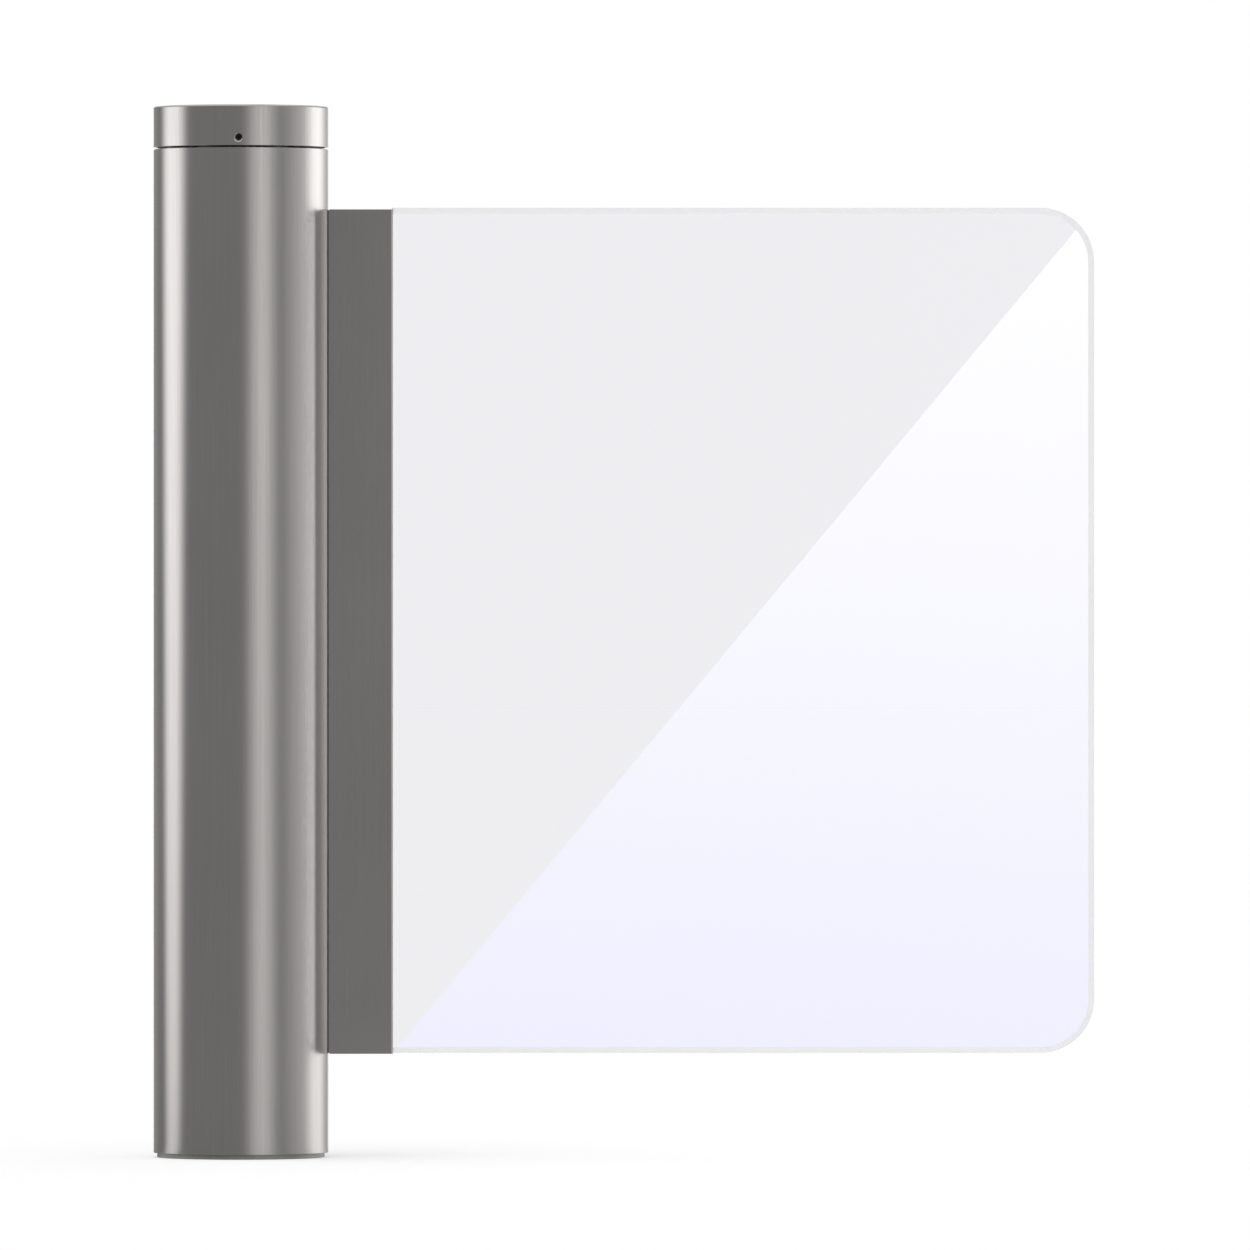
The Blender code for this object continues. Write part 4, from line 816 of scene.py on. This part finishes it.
def seen_plainly(tree):
    """1 for rays from the camera, through clear things and off mirrors."""
    path = tree.add("ShaderNodeLightPath")
    seen = tree.math("MAXIMUM", path.outputs["Is Camera Ray"], path.outputs["Is Transmission Ray"])
    return tree.math("MAXIMUM", seen, path.outputs["Is Glossy Ray"])


def square(name, side):
    """A flat square in the XY plane, about the origin."""
    work = bmesh.new()
    bmesh.ops.create_grid(work, x_segments=1, y_segments=1, size=side / 2)
    return finished(name, work)


def make_floor():
    floor = square("floor", FLOOR_SIZE)
    made = bpy.data.materials.new("floor")
    tree = Tree(made)
    tree.nodes.clear()
    diffuse = tree.add("ShaderNodeBsdfDiffuse")
    diffuse.inputs["Color"].default_value = FLOOR_COLOUR
    glow = tree.add("ShaderNodeEmission")
    tree.link(tree.math("MULTIPLY", seen_plainly(tree), FLOOR_LIFT), glow.inputs["Strength"])
    both = tree.add("ShaderNodeAddShader")
    tree.link(diffuse.outputs["BSDF"], both.inputs[0])
    tree.link(glow.outputs["Emission"], both.inputs[1])
    output = tree.add("ShaderNodeOutputMaterial")
    tree.link(both.outputs["Shader"], output.inputs["Surface"])
    floor.data.materials.append(made)


def make_world():
    """A white background, and a plainer level for the light that it casts."""
    world = bpy.data.worlds.new("studio")
    bpy.context.scene.world = world
    tree = Tree(world)
    tree.nodes.clear()
    level = tree.add("ShaderNodeMix", data_type="FLOAT")
    tree.link(seen_plainly(tree), level.inputs["Factor"])
    level.inputs["A"].default_value = AMBIENT
    level.inputs["B"].default_value = 1.0
    background = tree.add("ShaderNodeBackground")
    background.inputs["Color"].default_value = WHITE
    tree.link(level.outputs["Result"], background.inputs["Strength"])
    output = tree.add("ShaderNodeOutputWorld")
    tree.link(background.outputs["Background"], output.inputs["Surface"])


def glow_only(name, piece, build):
    """Give a stage piece a see-through glow that only reflections show."""
    made = bpy.data.materials.new(name)
    tree = Tree(made)
    tree.nodes.clear()
    glow = tree.add("ShaderNodeEmission")
    clear = tree.add("ShaderNodeBsdfTransparent")
    build(tree, glow, clear)
    both = tree.add("ShaderNodeAddShader")
    tree.link(clear.outputs["BSDF"], both.inputs[0])
    tree.link(glow.outputs["Emission"], both.inputs[1])
    output = tree.add("ShaderNodeOutputMaterial")
    tree.link(both.outputs["Shader"], output.inputs["Surface"])
    piece.data.materials.append(made)
    piece.visible_camera = False
    piece.visible_diffuse = False
    piece.visible_transmission = False
    piece.visible_shadow = False
    piece.visible_volume_scatter = False


def hump(tree, azimuth, centre, inner, outer, width=None):
    """1 within the inner half-width of a centre, falling softly to 0 at the outer; width scales both."""
    away = tree.math("ABSOLUTE", tree.math("SUBTRACT", azimuth, centre))
    if width is not None:
        away = tree.math("DIVIDE", away, width)
    fall = tree.add("ShaderNodeMapRange", interpolation_type="SMOOTHSTEP")
    fall.inputs["From Min"].default_value = inner
    fall.inputs["From Max"].default_value = outer
    fall.inputs["To Min"].default_value = 1.0
    fall.inputs["To Max"].default_value = 0.0
    tree.link(away, fall.inputs["Value"])
    return fall.outputs["Result"]


def scaled(tree, vector, factor):
    """A constant vector times a factor."""
    node = tree.add("ShaderNodeVectorMath", operation="SCALE")
    node.inputs[0].default_value = vector
    tree.link(factor, node.inputs["Scale"])
    return node.outputs["Vector"]


def make_tent():
    """The studio that the metal mirrors: grey flags, upright lights, a pale roof and a gap behind.

    Azimuth 0 is in front of the object and 90 on the wing's side.
    """
    tube_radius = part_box("sleeve_tube")[1].x
    profile = [(0, 0), (TENT_RADIUS, 0), (TENT_RADIUS, TENT_HEIGHT), (0, TENT_HEIGHT)]
    tent = revolved("tent", profile, TENT_STEPS)
    tent.location.z = TENT_LIFT

    def build(tree, glow, clear):
        coords = tree.add("ShaderNodeTexCoord")
        split = tree.add("ShaderNodeSeparateXYZ")
        tree.link(coords.outputs["Object"], split.inputs["Vector"])
        front = tree.math("MULTIPLY", split.outputs["Y"], -1.0)
        turn = tree.math("ARCTAN2", split.outputs["X"], front)
        # A ray that leaves the column's skin isn't quite radial: this gives its own direction.
        flat = tree.add("ShaderNodeVectorMath", operation="MULTIPLY")
        tree.link(coords.outputs["Object"], flat.inputs[0])
        flat.inputs[1].default_value = (1, 1, 0)
        length = tree.add("ShaderNodeVectorMath", operation="LENGTH")
        tree.link(flat.outputs["Vector"], length.inputs[0])
        reach = tree.math("MAXIMUM", length.outputs["Value"], tube_radius)
        lean = tree.math("SINE", tree.math("MULTIPLY", turn, 0.5))
        offset = tree.math("MULTIPLY", tree.math("DIVIDE", tube_radius, reach), lean)
        azimuth = tree.math("MULTIPLY", tree.math("ADD", turn, offset), 180 / math.pi)

        # 0 at the column's foot, and 1 high on the wall
        rise = tree.math("MULTIPLY", split.outputs["Z"], TENT_RISE_PER_METRE)
        run = tree.math("MULTIPLY", reach, TENT_RUN_PER_METRE)
        height = tree.math("MINIMUM", tree.math("ADD", rise, run), 1.0)
        below = tree.math("SUBTRACT", 1.0, height)

        total = 0.0
        for light in TENT_LIGHTS:
            radiance = light["radiance"]
            width = tree.ranged(height, light["foot_width"], 1.0, 0.0, 1.0)
            depth = tree.math("POWER", below, light["haste"])
            level = tree.ranged(depth, radiance, light["foot"] * radiance, 0.0, 1.0)
            shape = hump(tree, azimuth, light["centre"], light["inner"], light["outer"], width)
            total = tree.math("ADD", tree.math("MULTIPLY", shape, level), total)
        tops = tree.ranged(split.outputs["Z"], 1.0, 0.0, *TENT_LIGHT_TOPS)
        # Painted shadow: close round the column's foot the lights fade out, and nearer the column the
        # flags are darkened, in place of the column's own shadow on the floor
        painted_foot_shadow = tree.ranged(reach, 0.0, 1.0, *TENT_FOOT_SHADOW_REACH)
        total = tree.math("MULTIPLY", tree.math("MULTIPLY", total, tops), painted_foot_shadow)
        shade = tree.ranged(reach, TENT_SHADE, 1.0, *TENT_SHADE_REACH)
        lit = tree.add("ShaderNodeVectorMath", operation="ADD")
        tree.link(total, lit.inputs[0])
        tree.link(scaled(tree, TENT_FLAG, shade), lit.inputs[1])
        roof = tree.ranged(split.outputs["Z"], 0.0, 1.0, *TENT_ROOF_HEIGHTS)
        tree.link(tree.blend(roof, lit.outputs["Vector"], TENT_ROOF), glow.inputs["Color"])
        closed = hump(tree, azimuth, 0.0, TENT_GAP - TENT_GAP_EDGE, TENT_GAP)
        tree.link(closed, glow.inputs["Strength"])
        tree.link(tree.math("SUBTRACT", 1.0, closed), clear.inputs["Color"])

    glow_only("tent", tent, build)


def make_lamp():
    """A wide, soft light from above that lays the object's shadow on the floor."""
    lamp = bpy.data.lights.new("overhead", "SUN")
    lamp.energy = LAMP_STRENGTH
    lamp.angle = LAMP_ANGLE
    overhead = bpy.data.objects.new("overhead", lamp)
    overhead.rotation_euler = LAMP_TILT
    overhead.visible_glossy = False
    bpy.context.scene.collection.objects.link(overhead)


def make_card(name, matrix, build, watcher):
    """A see-through glowing card, one metre square before its matrix, that one piece alone sees."""
    card = square(name, 1.0)
    card.matrix_world = matrix
    glow_only(name, card, build)
    seen_by = bpy.data.collections.new(f"{name}_watchers")
    seen_by.objects.link(bpy.data.objects[watcher])
    card.light_linking.receiver_collection = seen_by


def make_panel_card():
    """The tilted reflector whose edge crosses the clear panel from corner to corner."""
    low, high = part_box("panel")
    leaf_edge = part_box("bracket_front_plate")[1].x
    camera = Vector((CAMERA_X, -CAMERA_DISTANCE, CAMERA_Z))

    def mirrored(x, z):
        """Where the card's plane shows in the panel's face at x, z."""
        point = Vector((x, low.y, z))
        reach = (point.y - PANEL_CARD_Y) / (point.y - camera.y)
        return Vector((x + (x - camera.x) * reach, PANEL_CARD_Y, z + (z - camera.z) * reach))

    foot = mirrored(leaf_edge, low.z)
    head = mirrored(high.x, high.z)
    length = (head - foot).length
    along = (head - foot).normalized()
    outward = Vector((along.z, 0, -along.x))
    width = length * PANEL_CARD_WIDTH
    centre = (foot + head) / 2 + outward * width / 2
    facing = Matrix((
        (outward.x, along.x, 0, centre.x),
        (0, 0, 1, PANEL_CARD_Y),
        (outward.z, along.z, 0, centre.z),
        (0, 0, 0, 1),
    ))
    size = Matrix.Diagonal((width, length * (1 + 2 * PANEL_CARD_MARGIN), 1, 1))

    def build(tree, glow, clear):
        place = tree.add("ShaderNodeNewGeometry")
        split = tree.add("ShaderNodeSeparateXYZ")
        tree.link(place.outputs["Position"], split.inputs["Vector"])
        height = tree.ranged(split.outputs["Z"], 0.0, 1.0, foot.z, head.z)
        colour = tree.blend(height, PANEL_CARD_FOOT, PANEL_CARD_HEAD)
        tree.link(colour, glow.inputs["Color"])
        glow.inputs["Strength"].default_value = PANEL_CARD_RADIANCE
        clear.inputs["Color"].default_value = WHITE

    make_card("panel_card", facing @ size, build, "fine_panel")


def make_leaf_card():
    """A dim upright reflector that brightens the front leaf's mirror image in the sleeve."""
    low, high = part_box("bracket_front_plate")
    start = Matrix.Translation(((low.x + high.x) / 2, low.y, LEAF_CARD_HEIGHT / 2))
    turned = Matrix.Rotation(LEAF_CARD_AZIMUTH, 4, "Z")
    away = Matrix.Translation((0, -LEAF_CARD_DISTANCE, 0))
    upright = Matrix.Rotation(math.pi / 2, 4, "X")
    size = Matrix.Diagonal((LEAF_CARD_WIDTH, LEAF_CARD_HEIGHT, 1, 1))

    def build(tree, glow, clear):
        coords = tree.add("ShaderNodeTexCoord")
        split = tree.add("ShaderNodeSeparateXYZ")
        tree.link(coords.outputs["Object"], split.inputs["Vector"])
        aside = tree.math("ABSOLUTE", split.outputs["X"])
        level = tree.ranged(aside, LEAF_CARD_RADIANCE, 0.0, 0.5 - LEAF_CARD_FADE, 0.5)
        tree.link(level, glow.inputs["Strength"])
        clear.inputs["Color"].default_value = WHITE

    make_card("leaf_card", start @ turned @ away @ upright @ size, build, "fine_front_leaf")


def make_camera():
    lens = bpy.data.cameras.new("camera")
    lens.sensor_width = SENSOR
    lens.lens = SENSOR * CAMERA_DISTANCE / FRAME_WIDTH
    lens.clip_start = CLIP_START
    lens.clip_end = CLIP_END
    camera = bpy.data.objects.new("camera", lens)
    camera.location = (CAMERA_X, -CAMERA_DISTANCE, CAMERA_Z)
    camera.rotation_euler = (math.pi / 2, 0, 0)
    bpy.context.scene.collection.objects.link(camera)
    bpy.context.scene.camera = camera


def main():
    bpy.context.scene.view_settings.view_transform = "Standard"
    make_camera()
    make_sleeve()
    make_cap()
    make_cap_screws()
    make_base()
    make_leaves()
    make_spine()
    make_clamp_screws()
    make_panel()
    dress()
    make_floor()
    make_world()
    make_tent()
    make_lamp()
    make_panel_card()
    make_leaf_card()


main()
